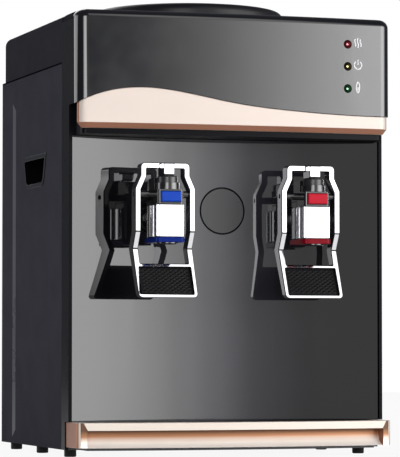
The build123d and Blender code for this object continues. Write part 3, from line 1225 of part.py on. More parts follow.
with BuildPart() as hot_tank:
    with Locations((HOT_X, HOT_Y, HOT_BOTTOM)):
        Cylinder(HOT_RADIUS, HOT_HEIGHT, align=UPRIGHT)
    fillet(hot_tank.edges().filter_by(GeomType.CIRCLE), radius=HOT_DOME_RADIUS)
    with Locations((HOT_X, HOT_Y, PAN_TOP + TOUCH)):
        Cylinder(STAND_RADIUS, STAND_HEIGHT + HOT_WALL / 2, align=UPRIGHT)
        Cylinder(STAND_RADIUS - STAND_WALL, STAND_HEIGHT - TOUCH, align=UPRIGHT, mode=Mode.SUBTRACT)
    with Locations((HOT_X, HOT_Y, HOT_TOP - HOT_WALL / 2)):
        Cylinder(SPIGOT_RADIUS, HOT_SPIGOT_LENGTH, align=UPRIGHT)
    with Locations(facing_right(HOT_X - HOT_RADIUS + HOT_WALL / 2, HOT_Y, HOT_PORT_HEIGHT)):
        Cylinder(SPIGOT_RADIUS, SPIGOT_LENGTH, align=HANGING)
    with Locations(facing_back(HOT_X, HOT_Y + HOT_RADIUS - HOT_WALL / 2, HOT_PORT_HEIGHT)):
        Cylinder(DRAIN_RADIUS, DRAIN_END - HOT_Y - HOT_RADIUS + HOT_WALL / 2, align=UPRIGHT)
    add(hot_water.part, mode=Mode.SUBTRACT)
    with Locations((HOT_X, HOT_Y, HOT_BOTTOM + HOT_WALL)):
        Cylinder(SPIGOT_BORE_RADIUS, 2 * HOT_HEIGHT, align=UPRIGHT, mode=Mode.SUBTRACT)
    with Locations(facing_right(HOT_X, HOT_Y, HOT_PORT_HEIGHT)):
        Cylinder(SPIGOT_BORE_RADIUS, 2 * HOT_RADIUS, align=HANGING, mode=Mode.SUBTRACT)
    with Locations(facing_back(HOT_X, HOT_Y, HOT_PORT_HEIGHT)):
        Cylinder(DRAIN_BORE, BODY_DEPTH, align=UPRIGHT, mode=Mode.SUBTRACT)
save(hot_tank.part, "hot_tank")

with BuildPart() as heater_band:
    with Locations((HOT_X, HOT_Y, HOT_BOTTOM + HEATER_LIFT)):
        Cylinder(HOT_RADIUS + HEATER_THICKNESS, HEATER_HEIGHT, align=UPRIGHT)
        Cylinder(HOT_RADIUS + HEATER_GAP, HEATER_HEIGHT, align=UPRIGHT, mode=Mode.SUBTRACT)
save(heater_band.part, "heater_band")

with BuildPart() as thermostats:
    for x in (HOT_X - THERMOSTAT_SPREAD, HOT_X + THERMOSTAT_SPREAD):
        with Locations((x, HOT_Y, HOT_TOP + TOUCH)):
            Cylinder(THERMOSTAT_RADIUS, THERMOSTAT_HEIGHT, align=UPRIGHT)
save(thermostats.part, "thermostats")

with BuildPart() as drain_cap:
    cap_front = REAR_FACE + CAP_GAP
    cap_length = DRAIN_END + CAP_GAP + CAP_WALL - cap_front
    with Locations(facing_back(HOT_X, cap_front, HOT_PORT_HEIGHT)):
        Cylinder(CAP_RADIUS, cap_length, align=UPRIGHT)
        with PolarLocations(CAP_RADIUS, CAP_RIBS):
            Cylinder(CAP_RIB_RADIUS, cap_length, align=UPRIGHT)
        Cylinder(DRAIN_RADIUS + CAP_GAP, cap_length - CAP_WALL, align=UPRIGHT, mode=Mode.SUBTRACT)
save(drain_cap.part, "drain_cap")

# Silicone tubes between the tanks and the taps
cold_tube_level = min(SPIGOT_END, SHANK_Z) - COLD_TUBE_DROP
feed_tube_level = SPIGOT_END - FEED_TUBE_DROP
save(
    silicone_tube(
        (
            (COLD_SPIGOT_X, BOTTLE_Y, COLD_BOTTOM - TUBE_LAP),
            (COLD_SPIGOT_X, BOTTLE_Y, cold_tube_level),
            (-TAP_X, TUBE_TURN_Y, cold_tube_level),
            (-TAP_X, TUBE_TURN_Y, SHANK_Z),
            (-TAP_X, SHANK_END + TUBE_LAP, SHANK_Z),
        )
    ),
    "cold_tube",
)
save(
    silicone_tube(
        (
            (0, BOTTLE_Y + FEED_SPIGOT_Y, COLD_BOTTOM - TUBE_LAP),
            (0, BOTTLE_Y + FEED_SPIGOT_Y, feed_tube_level),
            (FEED_DROP_X, HOT_Y, feed_tube_level - FEED_SLOPE_DROP),
            (FEED_DROP_X, HOT_Y, HOT_PORT_HEIGHT),
            (HOT_X - HOT_RADIUS - TUBE_LAP, HOT_Y, HOT_PORT_HEIGHT),
        )
    ),
    "feed_tube",
)
save(
    silicone_tube(
        (
            (HOT_X, HOT_Y, HOT_TOP + TUBE_LAP),
            (HOT_X, HOT_Y, HOT_TOP + HOT_TUBE_RISE),
            (TAP_X, TUBE_TURN_Y, HOT_TOP + HOT_TUBE_RISE),
            (TAP_X, TUBE_TURN_Y, SHANK_Z),
            (TAP_X, SHANK_END + TUBE_LAP, SHANK_Z),
        )
    ),
    "hot_tube",
)

# Power board with transformer, relays and capacitor on the standoffs of the base pan
with BuildPart() as power_board:
    with Locations((POWER_X, POWER_Y, POWER_TOP + TOUCH)):
        Box(POWER_WIDTH, POWER_LENGTH, POWER_BOARD_THICKNESS, align=UPRIGHT)
    with Locations((POWER_X - POWER_WIDTH / 5, POWER_Y + POWER_LENGTH / 4, POWER_TOP)):
        Box(*TRANSFORMER_SIZE, align=UPRIGHT)
    with Locations((POWER_X, POWER_Y - POWER_LENGTH / 4, POWER_TOP)):
        with GridLocations(POWER_WIDTH / 2, POWER_WIDTH / 2, 2, 1):
            Box(*RELAY_SIZE, align=UPRIGHT)
    with Locations((POWER_X + POWER_WIDTH / 5, POWER_Y, POWER_TOP)):
        Cylinder(CAPACITOR_RADIUS, CAPACITOR_HEIGHT, align=UPRIGHT)
save(power_board.part, "power_board")
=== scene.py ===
"""Countertop water dispenser with a cold and a hot push-lever tap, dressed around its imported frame.

Sizes are in the maker's millimetres, with Y at 0 on the front edge of the side rails.
"""
from __future__ import annotations

import json
import logging
import math
from collections.abc import Callable
from dataclasses import dataclass, replace
from enum import Enum

import bmesh
import bpy
from mathutils import Euler, Matrix, Vector

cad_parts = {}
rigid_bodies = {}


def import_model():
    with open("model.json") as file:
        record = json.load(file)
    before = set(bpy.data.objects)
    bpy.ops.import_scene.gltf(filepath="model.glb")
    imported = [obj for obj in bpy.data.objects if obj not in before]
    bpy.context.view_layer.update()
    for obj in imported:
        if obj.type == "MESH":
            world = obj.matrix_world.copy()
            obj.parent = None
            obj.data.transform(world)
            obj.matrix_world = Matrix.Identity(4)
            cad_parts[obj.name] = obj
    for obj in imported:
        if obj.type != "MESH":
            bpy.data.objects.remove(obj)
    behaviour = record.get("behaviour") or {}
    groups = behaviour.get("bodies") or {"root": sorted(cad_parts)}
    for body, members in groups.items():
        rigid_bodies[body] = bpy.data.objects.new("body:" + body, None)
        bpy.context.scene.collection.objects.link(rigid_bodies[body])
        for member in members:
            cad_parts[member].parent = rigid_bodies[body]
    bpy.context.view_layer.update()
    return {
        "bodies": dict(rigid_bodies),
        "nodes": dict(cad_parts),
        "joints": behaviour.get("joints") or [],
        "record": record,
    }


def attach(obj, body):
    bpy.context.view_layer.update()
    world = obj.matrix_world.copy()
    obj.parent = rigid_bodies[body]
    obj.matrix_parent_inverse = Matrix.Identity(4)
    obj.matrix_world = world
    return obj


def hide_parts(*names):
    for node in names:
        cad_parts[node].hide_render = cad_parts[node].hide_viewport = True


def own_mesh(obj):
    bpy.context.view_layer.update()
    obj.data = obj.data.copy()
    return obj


LOG = logging.getLogger("water_dispenser")
Piece = bpy.types.Object
Mesh = bpy.types.Mesh
Face = bpy.types.MeshPolygon
Node = bpy.types.Node
Socket = bpy.types.NodeSocket
Pair = tuple[float, float]
Triple = tuple[float, float, float]
Strokes = list[list[Pair]]

MM = 0.001
FRAME_SHIFT = -99.0
WELD = 2e-6
INK = 0.1
FLAT_ANGLE = math.radians(0.05)
NOISE_SPAN = (0.3, 0.7)
PATCH_DETAIL = 2.0
GRAIN_DETAIL = 3.0
POLISHED_DETAIL = 1.0
BRUSH_STRETCH = (0.03, 1.0, 1.0)
BUMP_STRENGTH = 0.5
COAT_ROUGHNESS = 0.06
LEAST_ROUGHNESS = 0.02


def to_frame(x: float, y: float, z: float) -> Vector:
    """Turns a point in the maker's millimetres into the frame's metres."""
    return Vector((x * MM, (y + FRAME_SHIFT) * MM, z * MM))


def linear(hex_colour: str) -> tuple[float, float, float, float]:
    """Turns a colour written as in "C8A58E" into the opaque linear colour that a socket takes."""
    parts = [int(hex_colour[place:place + 2], 16) / 255 for place in (0, 2, 4)]
    return (*(part / 12.92 if part < 0.04045 else ((part + 0.055) / 1.055) ** 2.4 for part in parts), 1.0)


def oval_line(half_width: float, half_height: float, middle: float, steps: int = 28) -> list[Pair]:
    """Gives the closed line of an upright oval around a middle height, its first point again at the end."""
    turns = [2 * math.pi * (step % steps) / steps for step in range(steps + 1)]
    return [(half_width * math.cos(turn), middle + half_height * math.sin(turn)) for turn in turns]


def put(name: str, data: bpy.types.ID) -> Piece:
    """Links a new object to the scene.

    Args:
        name: Its name.
        data: Its mesh, camera or lamp.

    Returns:
        The object.
    """
    made = bpy.data.objects.new(name, data)
    bpy.context.scene.collection.objects.link(made)
    return made


def settle(work: bmesh.types.BMesh, name: str) -> Piece:
    """Ends an edit and puts its result in the scene.

    Args:
        work: The edit.
        name: Name of the object and its mesh.

    Returns:
        The object.
    """
    mesh = bpy.data.meshes.new(name)
    work.to_mesh(mesh)
    work.free()
    return put(name, mesh)


def bake(piece: Piece) -> Mesh:
    """Gives a plain mesh of a piece as its modifiers leave it."""
    return bpy.data.meshes.new_from_object(piece.evaluated_get(bpy.context.evaluated_depsgraph_get()))


class Wiring:
    """A tree of shader nodes under construction."""

    prefix = "ShaderNode"

    def __init__(self, tree: bpy.types.NodeTree) -> None:
        """Takes the tree to add nodes to."""
        self.tree = tree

    def plug(self, socket: Socket, value: object) -> None:
        """Joins another socket to an input, or sets its value.

        Args:
            socket: The input.
            value: The other socket or the value.
        """
        if isinstance(value, Socket):
            self.tree.links.new(value, socket)
        else:
            socket.default_value = value

    def feed(self, node: Node, **inputs: object) -> None:
        """Plugs sockets or values into the inputs of a node, by name with _ for a space."""
        for name, value in inputs.items():
            self.plug(node.inputs[name.replace("_", " ")], value)

    def node(self, kind: str, **inputs: object) -> Node:
        """Adds a node.

        Args:
            kind: Its type, without the prefix of the tree's own nodes.
            inputs: Sockets or values for its inputs.

        Returns:
            The node.
        """
        made = self.tree.nodes.new(kind if "Node" in kind else self.prefix + kind)
        self.feed(made, **inputs)
        return made

    def math(self, operation: str, *values: Socket | float) -> Socket:
        """Adds a sum.

        Args:
            operation: Its kind.
            values: The sockets and numbers that it takes.

        Returns:
            Its result.
        """
        made = self.node("ShaderNodeMath")
        made.operation = operation
        for socket, value in zip(made.inputs, values):
            self.plug(socket, value)
        return made.outputs["Value"]

    def noise(self, place: Socket, size: float, detail: float) -> Socket:
        """Adds a noise with patches of a size in millimetres."""
        return self.node("TexNoise", Vector=place, Scale=1 / (size * MM), Detail=detail).outputs["Fac"]

    def span(self, value: Socket, ends: Pair, results: Pair = (0.0, 1.0), kind: str = "LINEAR") -> Socket:
        """Turns a span of values into another one.

        Args:
            value: What is turned.
            ends: Low and high end of the span.
            results: What these ends turn into.
            kind: How it goes from one to the other.

        Returns:
            The result.
        """
        made = self.node("MapRange", Value=value, From_Min=ends[0], From_Max=ends[1])
        self.feed(made, To_Min=results[0], To_Max=results[1])
        made.interpolation_type = kind
        return made.outputs["Result"]

    def ramp(self, factor: Socket, stops: list[tuple[float, tuple]]) -> Socket:
        """Adds a colour ramp.

        Args:
            factor: What it follows.
            stops: Its places and colours in order.

        Returns:
            Its colour.
        """
        made = self.node("ValToRGB", Fac=factor)
        elements = made.color_ramp.elements
        for place, _ in stops[1:-1]:
            elements.new(place)
        for element, (place, colour) in zip(elements, stops):
            element.position = place
            element.color = colour
        return made.outputs["Color"]

    def blend(self, kind: str, factor: Socket | float, first: object, second: object) -> Socket:
        """Mixes two colours, given as sockets or values.

        Args:
            kind: How they mix.
            factor: Share of the second one.
            first: The first colour.
            second: The second colour.

        Returns:
            The mixed colour.
        """
        made = self.node("Mix")
        made.data_type = "RGBA"
        made.blend_type = kind
        self.feed(made, Factor=factor, A=first, B=second)
        return made.outputs["Result"]


class Grain(Enum):
    """Kinds of fine surface that a finish can have."""

    MOULDED = "moulded"
    POLISHED = "polished"
    BRUSHED = "brushed"
    BEADED = "beaded"


@dataclass(frozen=True)
class PaintedLightFade:
    """Painted light and shade: tints that follow each other along an axis from a low to a high place, in
    millimetres.
    """

    axis: str
    low: float
    high: float
    tints: tuple[str, ...]


@dataclass(frozen=True)
class Finish:
    """One finish of the dispenser, as a node material with grain, mottling, worn gloss and, in some
    finishes, painted light and shade.
    """

    name: str
    colour: str
    roughness: float
    grain: Grain = Grain.MOULDED
    metallic: float = 0.0
    specular: float = 0.5
    coat: float = 0.0
    transmission: float = 0.0
    glow: float = 0.0
    grain_size: float = 0.7
    relief: float = 0.02
    mottle: float = 0.08
    patchiness: float = 0.04
    patch_size: float = 28.0
    fade: PaintedLightFade | None = None

    def variant(self, name: str, colour: str, **changes: object) -> Finish:
        """Gives the same finish under another name and colour, with any other changes."""
        return replace(self, name=name, colour=colour, **changes)

    def material(self) -> bpy.types.Material:
        """Builds the material on first use.

        Returns:
            The material, shared by all pieces with this finish.
        """
        title = f"finish_{self.name}"
        made = bpy.data.materials.get(title)
        if made:
            return made
        made = bpy.data.materials.new(title)
        made.use_nodes = True
        wiring = Wiring(made.node_tree)
        place = wiring.node("TexCoord").outputs["Object"]
        patches = wiring.noise(place, self.patch_size, PATCH_DETAIL)
        gloss = (max(self.roughness - self.patchiness, LEAST_ROUGHNESS), self.roughness + self.patchiness)
        wiring.feed(
            made.node_tree.nodes["Principled BSDF"],
            Base_Color=self._colour(wiring, place, patches),
            Roughness=wiring.span(patches, NOISE_SPAN, gloss),
            Normal=self._relief(wiring, place),
            Metallic=self.metallic,
            Specular_IOR_Level=self.specular,
            Coat_Weight=self.coat,
            Coat_Roughness=COAT_ROUGHNESS,
            Transmission_Weight=self.transmission,
            Emission_Strength=self.glow,
            Emission_Color=linear(self.colour),
        )
        return made

    def _colour(self, wiring: Wiring, place: Socket, patches: Socket) -> Socket:
        """Mottles the colour a little and multiplies it by painted light and shade that follow the place on
        the piece.

        Args:
            wiring: The material's nodes.
            place: Where a tint is read.
            patches: The noise that the mottling follows.

        Returns:
            The colour.
        """
        base = linear(self.colour)[:3]
        changes = (1 - self.mottle, 1 + self.mottle)
        shades = [(*[min(part * change, 1.0) for part in base], 1.0) for change in changes]
        colour = wiring.ramp(patches, list(zip(NOISE_SPAN, shades)))
        if not self.fade:
            return colour
        # The fade multiplies the colour by painted light and shade along one axis.
        shift = FRAME_SHIFT if self.fade.axis == "Y" else 0.0
        along = wiring.node("SeparateXYZ", Vector=place).outputs[self.fade.axis]
        part = wiring.span(along, ((self.fade.low + shift) * MM, (self.fade.high + shift) * MM))
        last = len(self.fade.tints) - 1
        tints = [(step / last, linear(tint)) for step, tint in enumerate(self.fade.tints)]
        return wiring.blend("MULTIPLY", 1.0, colour, wiring.ramp(part, tints))

    def _relief(self, wiring: Wiring, place: Socket) -> Socket:
        """Gives the surface its grain.

        Args:
            wiring: The material's nodes.
            place: Where the grain is read.

        Returns:
            The normal.
        """
        if self.grain is Grain.BRUSHED:
            place = wiring.node("Mapping", Vector=place, Scale=BRUSH_STRETCH).outputs["Vector"]
        if self.grain is Grain.BEADED:
            beads = wiring.node("TexVoronoi", Vector=place, Scale=1 / (self.grain_size * MM))
            height = beads.outputs["Distance"]
        else:
            detail = POLISHED_DETAIL if self.grain is Grain.POLISHED else GRAIN_DETAIL
            height = wiring.noise(place, self.grain_size, detail)
        bump = wiring.node("Bump", Strength=BUMP_STRENGTH, Distance=self.relief * MM, Height=height)
        return bump.outputs["Normal"]


POLISHED_BLACK = Finish(
    "polished_black", "0C0C0F", 0.11, Grain.POLISHED, specular=0.69, grain_size=30.0, relief=0.006,
    mottle=0.06)
# Painted reflection: a grey colour on the glossy black front panel, multiplied by a fade across it that is
# lighter in the middle and darker towards both ends.
PANEL_BLACK_PAINTED_REFLECTION = Finish(
    "panel_black", "313137", 0.02, Grain.POLISHED, specular=0.43, grain_size=60.0, relief=0.0005,
    mottle=0.05, patchiness=0.0,
    fade=PaintedLightFade("X", -110.0, 110.0, ("595959", "9C9C9C", "EDEDED", "979797", "3F3F3F")))
CHAMPAGNE = Finish(
    "champagne", "C5B8AF", 0.5, Grain.BRUSHED, metallic=0.2, specular=0.3, grain_size=0.5, relief=0.004,
    mottle=0.02)
# Painted light: a lighter copy of the header trim's champagne, for the band of the base trim.
CHAMPAGNE_BASE_PAINTED_LIGHT = CHAMPAGNE.variant("champagne_base", "D6CABF")
# Painted shade: a darker copy of the champagne, for the chamfer under the header trim and the ends of both
# trims.
CHAMPAGNE_PAINTED_SHADE = CHAMPAGNE.variant(
    "champagne_shade", "8E604A", roughness=0.42, metallic=0.5, specular=0.5, mottle=0.03)
# Painted light and shade in the cove of the base trim: almost white at its foot, turning dark brown towards
# the band above it.
CHAMPAGNE_COVE_PAINTED_SHADE = CHAMPAGNE.variant(
    "champagne_cove", "FFFFFF", roughness=0.45, metallic=0.3,
    fade=PaintedLightFade("Z", 9.0, 25.0, ("FFFAF4", "F8ECE0", "A4714E", "5A3E2C")))
SATIN_SILVER = Finish(
    "satin_silver", "E2E2E6", 0.28, Grain.POLISHED, metallic=0.15, grain_size=6.0, relief=0.002, mottle=0.02)
# Painted shade at a seam: the side sheets' paint darkens to near black over its top 2 mm, where it meets the
# cover.
SHEET_PAINTED_SEAM_SHADE = Finish(
    "sheet_paint", "38383E", 0.22, specular=0.0, grain_size=1.2, relief=0.004,
    fade=PaintedLightFade("Z", 354.4, 356.2, ("FFFFFF", "3A3A3A", "1C1C1C")))
# Painted shade at a seam: the flanks of the front shell darken to near black towards their back edge, where
# they meet the side sheets.
FLANK_PAINTED_SEAM_SHADE = SHEET_PAINTED_SEAM_SHADE.variant(
    "flank_paint", "28282D", fade=PaintedLightFade("Y", 19.5, 24.0, ("FFFFFF", "FFFFFF", "161616", "161616")))
# Painted highlight: a lighter grey for the forward slope round the pressed field of each side.
FIELD_EDGE_PAINTED_HIGHLIGHT = Finish("field_edge", "4E4E54", 0.3, specular=0.1, grain_size=1.2, relief=0.004)
COVER_PAINT = FIELD_EDGE_PAINTED_HIGHLIGHT.variant("cover_paint", "2E2E33", specular=0.0)
RAIL_BLACK = FIELD_EDGE_PAINTED_HIGHLIGHT.variant("rail_black", "0D0D10", specular=0.05)
SEAT_BLACK = Finish("seat_black", "111114", 0.4, specular=0.2, grain_size=0.8, relief=0.01)
CUP_BLACK = Finish("cup_black", "070709", 0.2, Grain.POLISHED, specular=0.25, grain_size=9.0, relief=0.004)
PLUG_BLACK = Finish("plug_black", "16161A", 0.3, Grain.POLISHED, specular=0.4, grain_size=20.0, relief=0.004)
REAR_PAINT = Finish("rear_paint", "2E2E31", 0.5, grain_size=1.0, relief=0.03)
CHROME = Finish(
    "chrome", "E9E9EC", 0.08, Grain.POLISHED, metallic=1.0, grain_size=9.0, relief=0.004, mottle=0.02,
    patchiness=0.02)
# Painted reflection: dark chrome for the rounded edges of the levers and tap bodies.
LEVER_RIM_PAINTED_REFLECTION = CHROME.variant("lever_rim", "2C2C31", roughness=0.15, mottle=0.08, patchiness=0.04)
TAP_BLACK = Finish("tap_black", "151517", 0.15, specular=0.7, grain_size=0.5, relief=0.003)
PAD_RUBBER = Finish("pad_rubber", "0B0B0D", 0.55, specular=0.12, grain_size=0.4, patchiness=0.08)
PLUNGER_BLACK = TAP_BLACK.variant("plunger_black", "1A1A1C", roughness=0.32, specular=0.45)
COLD_BLUE = Finish("cold_blue", "06389A", 0.2, specular=0.12, grain_size=0.6, relief=0.003)
HOT_RED = COLD_BLUE.variant("hot_red", "A91628", specular=0.08)
RING_BLUE = COLD_BLUE.variant("ring_blue", "041D66", specular=0.06)
RING_RED = RING_BLUE.variant("ring_red", "6E0616")
# Painted glow: the lens domes are dark and give off a faint light of their own colour.
RED_DOME_PAINTED_GLOW = Finish(
    "red_light", "3A060C", 0.15, Grain.POLISHED, specular=0.06, glow=0.12, grain_size=4.0, relief=0.003)
AMBER_DOME_PAINTED_GLOW = RED_DOME_PAINTED_GLOW.variant("amber_light", "1C1604")
GREEN_DOME_PAINTED_GLOW = RED_DOME_PAINTED_GLOW.variant("green_light", "06240F")
# Painted glints: small bright dots that glow on the lens domes.
RED_PAINTED_GLINT = Finish("red_spark", "F28C94", 0.3, glow=0.8, grain_size=0.3, relief=0.001)
AMBER_PAINTED_GLINT = RED_PAINTED_GLINT.variant("amber_spark", "F2E8A0")
GREEN_PAINTED_GLINT = RED_PAINTED_GLINT.variant("green_spark", "A8E6B8", glow=0.6)
PRINT = Finish("pale_print", "C9C9CC", 0.4, grain_size=0.3, relief=0.004, mottle=0.03)
CIRCUIT = Finish("circuit", "1E5A32", 0.35, grain_size=2.2, mottle=0.35, patch_size=5.0)
FOOT_RUBBER = Finish("foot_rubber", "0C0C0D", 0.7, specular=0.2, grain_size=0.6, relief=0.04, patchiness=0.1)
STEEL = Finish("steel", "B9BBBE", 0.28, Grain.BRUSHED, metallic=1.0, grain_size=0.4, relief=0.006)
SWITCH_BLACK = Finish("switch_black", "19191B", 0.35, grain_size=0.5, relief=0.01)
SWITCH_RED = Finish("switch_red", "B4181C", 0.3, coat=0.2, grain_size=0.5, relief=0.006)
SWITCH_BLUE = SWITCH_RED.variant("switch_blue", "1C49A8")
FOAM = Finish("foam", "E6E4DE", 0.8, Grain.BEADED, grain_size=3.0, relief=0.4, mottle=0.04)
ALUMINIUM = STEEL.variant("aluminium", "C6C8CB", roughness=0.35, grain_size=0.5, relief=0.01)
FAN_BLACK = Finish("fan_black", "161618", 0.45, relief=0.015)
HEATER_STEEL = STEEL.variant(
    "heater_steel", "8E7F74", roughness=0.4, grain_size=0.6, relief=0.01, mottle=0.2, patch_size=12.0)
SILICONE = Finish("silicone", "DADBD6", 0.35, transmission=0.45, grain_size=1.4, relief=0.01)


class Workshop:
    """Makes pieces, dresses them and puts them on the bodies of the frame."""

    def __init__(self, frame: dict) -> None:
        """Reads where each node belongs.

        Args:
            frame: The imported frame, as loaded.
        """
        record = frame["record"]
        self.nodes: dict[str, Piece] = frame["nodes"]
        self.bodies = {node: body for body, group in record["behaviour"]["bodies"].items() for node in group}
        self.slots = {entry["node"]: entry["material_slot"] for entry in record["subparts"]}

    def dress(self, piece: Piece, finish: Finish, node: str, replaces: bool = True, body: str = "") -> Piece:
        """Gives a piece its finish and puts it on the body of a node.

        Args:
            piece: The finished object.
            finish: Its finish.
            node: The node whose body it takes.
            replaces: Whether it stands for that node.
            body: Another body to ride on, if not the node's own.

        Returns:
            The same piece.
        """
        piece.data.materials.clear()
        piece.data.materials.append(finish.material())
        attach(piece, body or self.bodies[node])
        if replaces:
            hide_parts(node)
        LOG.info("%s on %s, %d faces", piece.name, self.bodies[node], len(piece.data.polygons))
        return piece

    def round_edges(self, piece: Piece, edge: float, steps: int, angle: float = 30.0) -> None:
        """Rounds the sharp edges of a piece and keeps its flat faces flat to the eye.

        Args:
            piece: The object to finish.
            edge: Width of the rounding in millimetres, or 0 for none.
            steps: Faces across the rounding.
            angle: Degrees past which an edge counts as sharp.
        """
        piece.data.set_sharp_from_angle(angle=math.radians(angle))
        if edge:
            bevel = piece.modifiers.new("rounded_edges", "BEVEL")
            bevel.width = edge * MM
            bevel.segments = steps
            bevel.limit_method = "ANGLE"
            bevel.angle_limit = math.radians(angle)
            bevel.miter_outer = "MITER_ARC"
            bevel.harden_normals = True
        normals = piece.modifiers.new("even_normals", "WEIGHTED_NORMAL")
        normals.keep_sharp = True

    def refine(self, node: str, finish: Finish, edge: float, steps: int, body: str = "",
               angle: float = 30.0) -> Piece:
        """Makes a finer piece from a node: merged, smooth, with rounded edges.

        Args:
            node: The node to stand for.
            finish: Its finish.
            edge: Width of the rounded edges in millimetres.
            steps: Faces across each rounded edge.
            body: Another body to ride on, if not the node's own.
            angle: Degrees past which an edge counts as sharp.

        Returns:
            The finished piece.
        """
        source = self.nodes[node].data
        mesh = bpy.data.meshes.new(f"{node}_shape")
        mesh.from_pydata([v.co for v in source.vertices], [], [tuple(p.vertices) for p in source.polygons])
        work = bmesh.new()
        work.from_mesh(mesh)
        bmesh.ops.remove_doubles(work, verts=work.verts, dist=WELD)
        bmesh.ops.dissolve_limit(work, angle_limit=FLAT_ANGLE, verts=work.verts, edges=work.edges)
        for face in work.faces:
            face.smooth = True
        work.to_mesh(mesh)
        work.free()
        piece = put(f"{node}_shape", mesh)
        self.round_edges(piece, edge, steps, angle)
        return self.dress(piece, finish, node, body=body)

    def ink(self, name: str, strokes: Strokes, width: float, lay: Callable[[float, float, float], Vector],
            node: str) -> None:
        """Prints a sign on a node.

        Args:
            name: Name of the sign.
            strokes: Its lines in millimetres; a line that ends where it starts is closed.
            width: Width of a line.
            lay: Lays a point with a lift on the node's face.
            node: The node that carries the sign.
        """
        work = bmesh.new()
        for line in strokes:
            closed = line[0] == line[-1]
            points = line[:-1] if closed else line
            rows = []
            for place, point in enumerate(points):
                before = points[place - 1] if closed or place else point
                after = points[(place + 1) % len(points)] if closed or place + 1 < len(points) else point
                along = Vector((after[0] - before[0], after[1] - before[1])).normalized() * width / 2
                edges = [(point[0] - part * along.y, point[1] + part * along.x) for part in (-1, 1)]
                rows.append([work.verts.new(lay(*edge, lift)) for lift in (INK, -INK) for edge in edges])
            pairs = list(zip(rows, rows[1:]))
            if closed:
                pairs.append((rows[-1], rows[0]))
            else:
                for end in (rows[0], rows[-1]):
                    work.faces.new((end[0], end[1], end[3], end[2]))
            for first, last in pairs:
                for one, other in ((0, 1), (1, 3), (3, 2), (2, 0)):
                    work.faces.new((first[one], first[other], last[other], last[one]))
        bmesh.ops.recalc_face_normals(work, faces=work.faces)
        self.dress(settle(work, name), PRINT, node, replaces=False)

    def second(self, piece: Piece, finish: Finish, chosen: Callable[[Face], bool]) -> None:
        """Gives some faces of a dressed piece another finish.

        Args:
            piece: The dressed piece.
            finish: The other finish.
            chosen: Tells which faces take it.
        """
        piece.data.materials.append(finish.material())
        place = len(piece.data.materials) - 1
        for face in piece.data.polygons:
            if chosen(face):
                face.material_index = place

    def outline(self, piece: Piece, finish: Finish) -> None:
        """Gives the rounded edges of a dressed piece their full width and another finish.

        Args:
            piece: The dressed piece.
            finish: The finish of its edges.
        """
        piece.data.materials.append(finish.material())
        edges = piece.modifiers["rounded_edges"]
        edges.use_clamp_overlap = False
        edges.material = len(piece.data.materials) - 1


class NodeSketch(Wiring):
    """A Geometry Nodes tree under construction, with named inputs for its sizes."""

    prefix = "GeometryNode"

    def __init__(self, name: str) -> None:
        """Starts an empty tree with one geometry output.

        Args:
            name: Name of the tree.
        """
        super().__init__(bpy.data.node_groups.new(name, "GeometryNodeTree"))
        self.tree.interface.new_socket("Geometry", in_out="OUTPUT", socket_type="NodeSocketGeometry")
        self.entry = self.node("NodeGroupInput")
        self.values: dict[str, object] = {}

    def size(self, name: str, kind: str, value: object) -> Socket:
        """Adds a named input.

        Args:
            name: The input's name.
            kind: Float, Int, Vector, Rotation, Object or Material.
            value: What it is set to.

        Returns:
            The socket that gives it inside the tree.
        """
        self.tree.interface.new_socket(name, in_out="INPUT", socket_type=f"NodeSocket{kind}")
        self.values[name] = value
        return self.entry.outputs[name]

    def join(self, parts: list[Socket]) -> Socket:
        """Joins several geometries into one.

        Args:
            parts: The geometries.

        Returns:
            All of them together.
        """
        node = self.node("JoinGeometry")
        for part in parts:
            self.plug(node.inputs[0], part)
        return node.outputs[0]

    def mesh(self, geometry: Socket, finish: Finish) -> Mesh:
        """Ends the tree, runs it and keeps its result.

        Args:
            geometry: The last geometry of the tree.
            finish: The finish that the tree sets.

        Returns:
            A plain mesh.
        """
        real = self.node("RealizeInstances", Geometry=geometry)
        slot = self.size("Finish", "Material", finish.material())
        painted = self.node("SetMaterial", Geometry=real.outputs[0], Material=slot)
        self.plug(self.node("NodeGroupOutput").inputs[0], painted.outputs[0])
        holder = put(self.tree.name, bpy.data.meshes.new(self.tree.name))
        modifier = holder.modifiers.new(self.tree.name, "NODES")
        modifier.node_group = self.tree
        for item in self.tree.interface.items_tree:
            if item.in_out == "INPUT":
                modifier[item.identifier] = self.values[item.name]
        mesh = bake(holder)
        holder.modifiers.remove(modifier)
        bpy.data.objects.remove(holder)
        return mesh


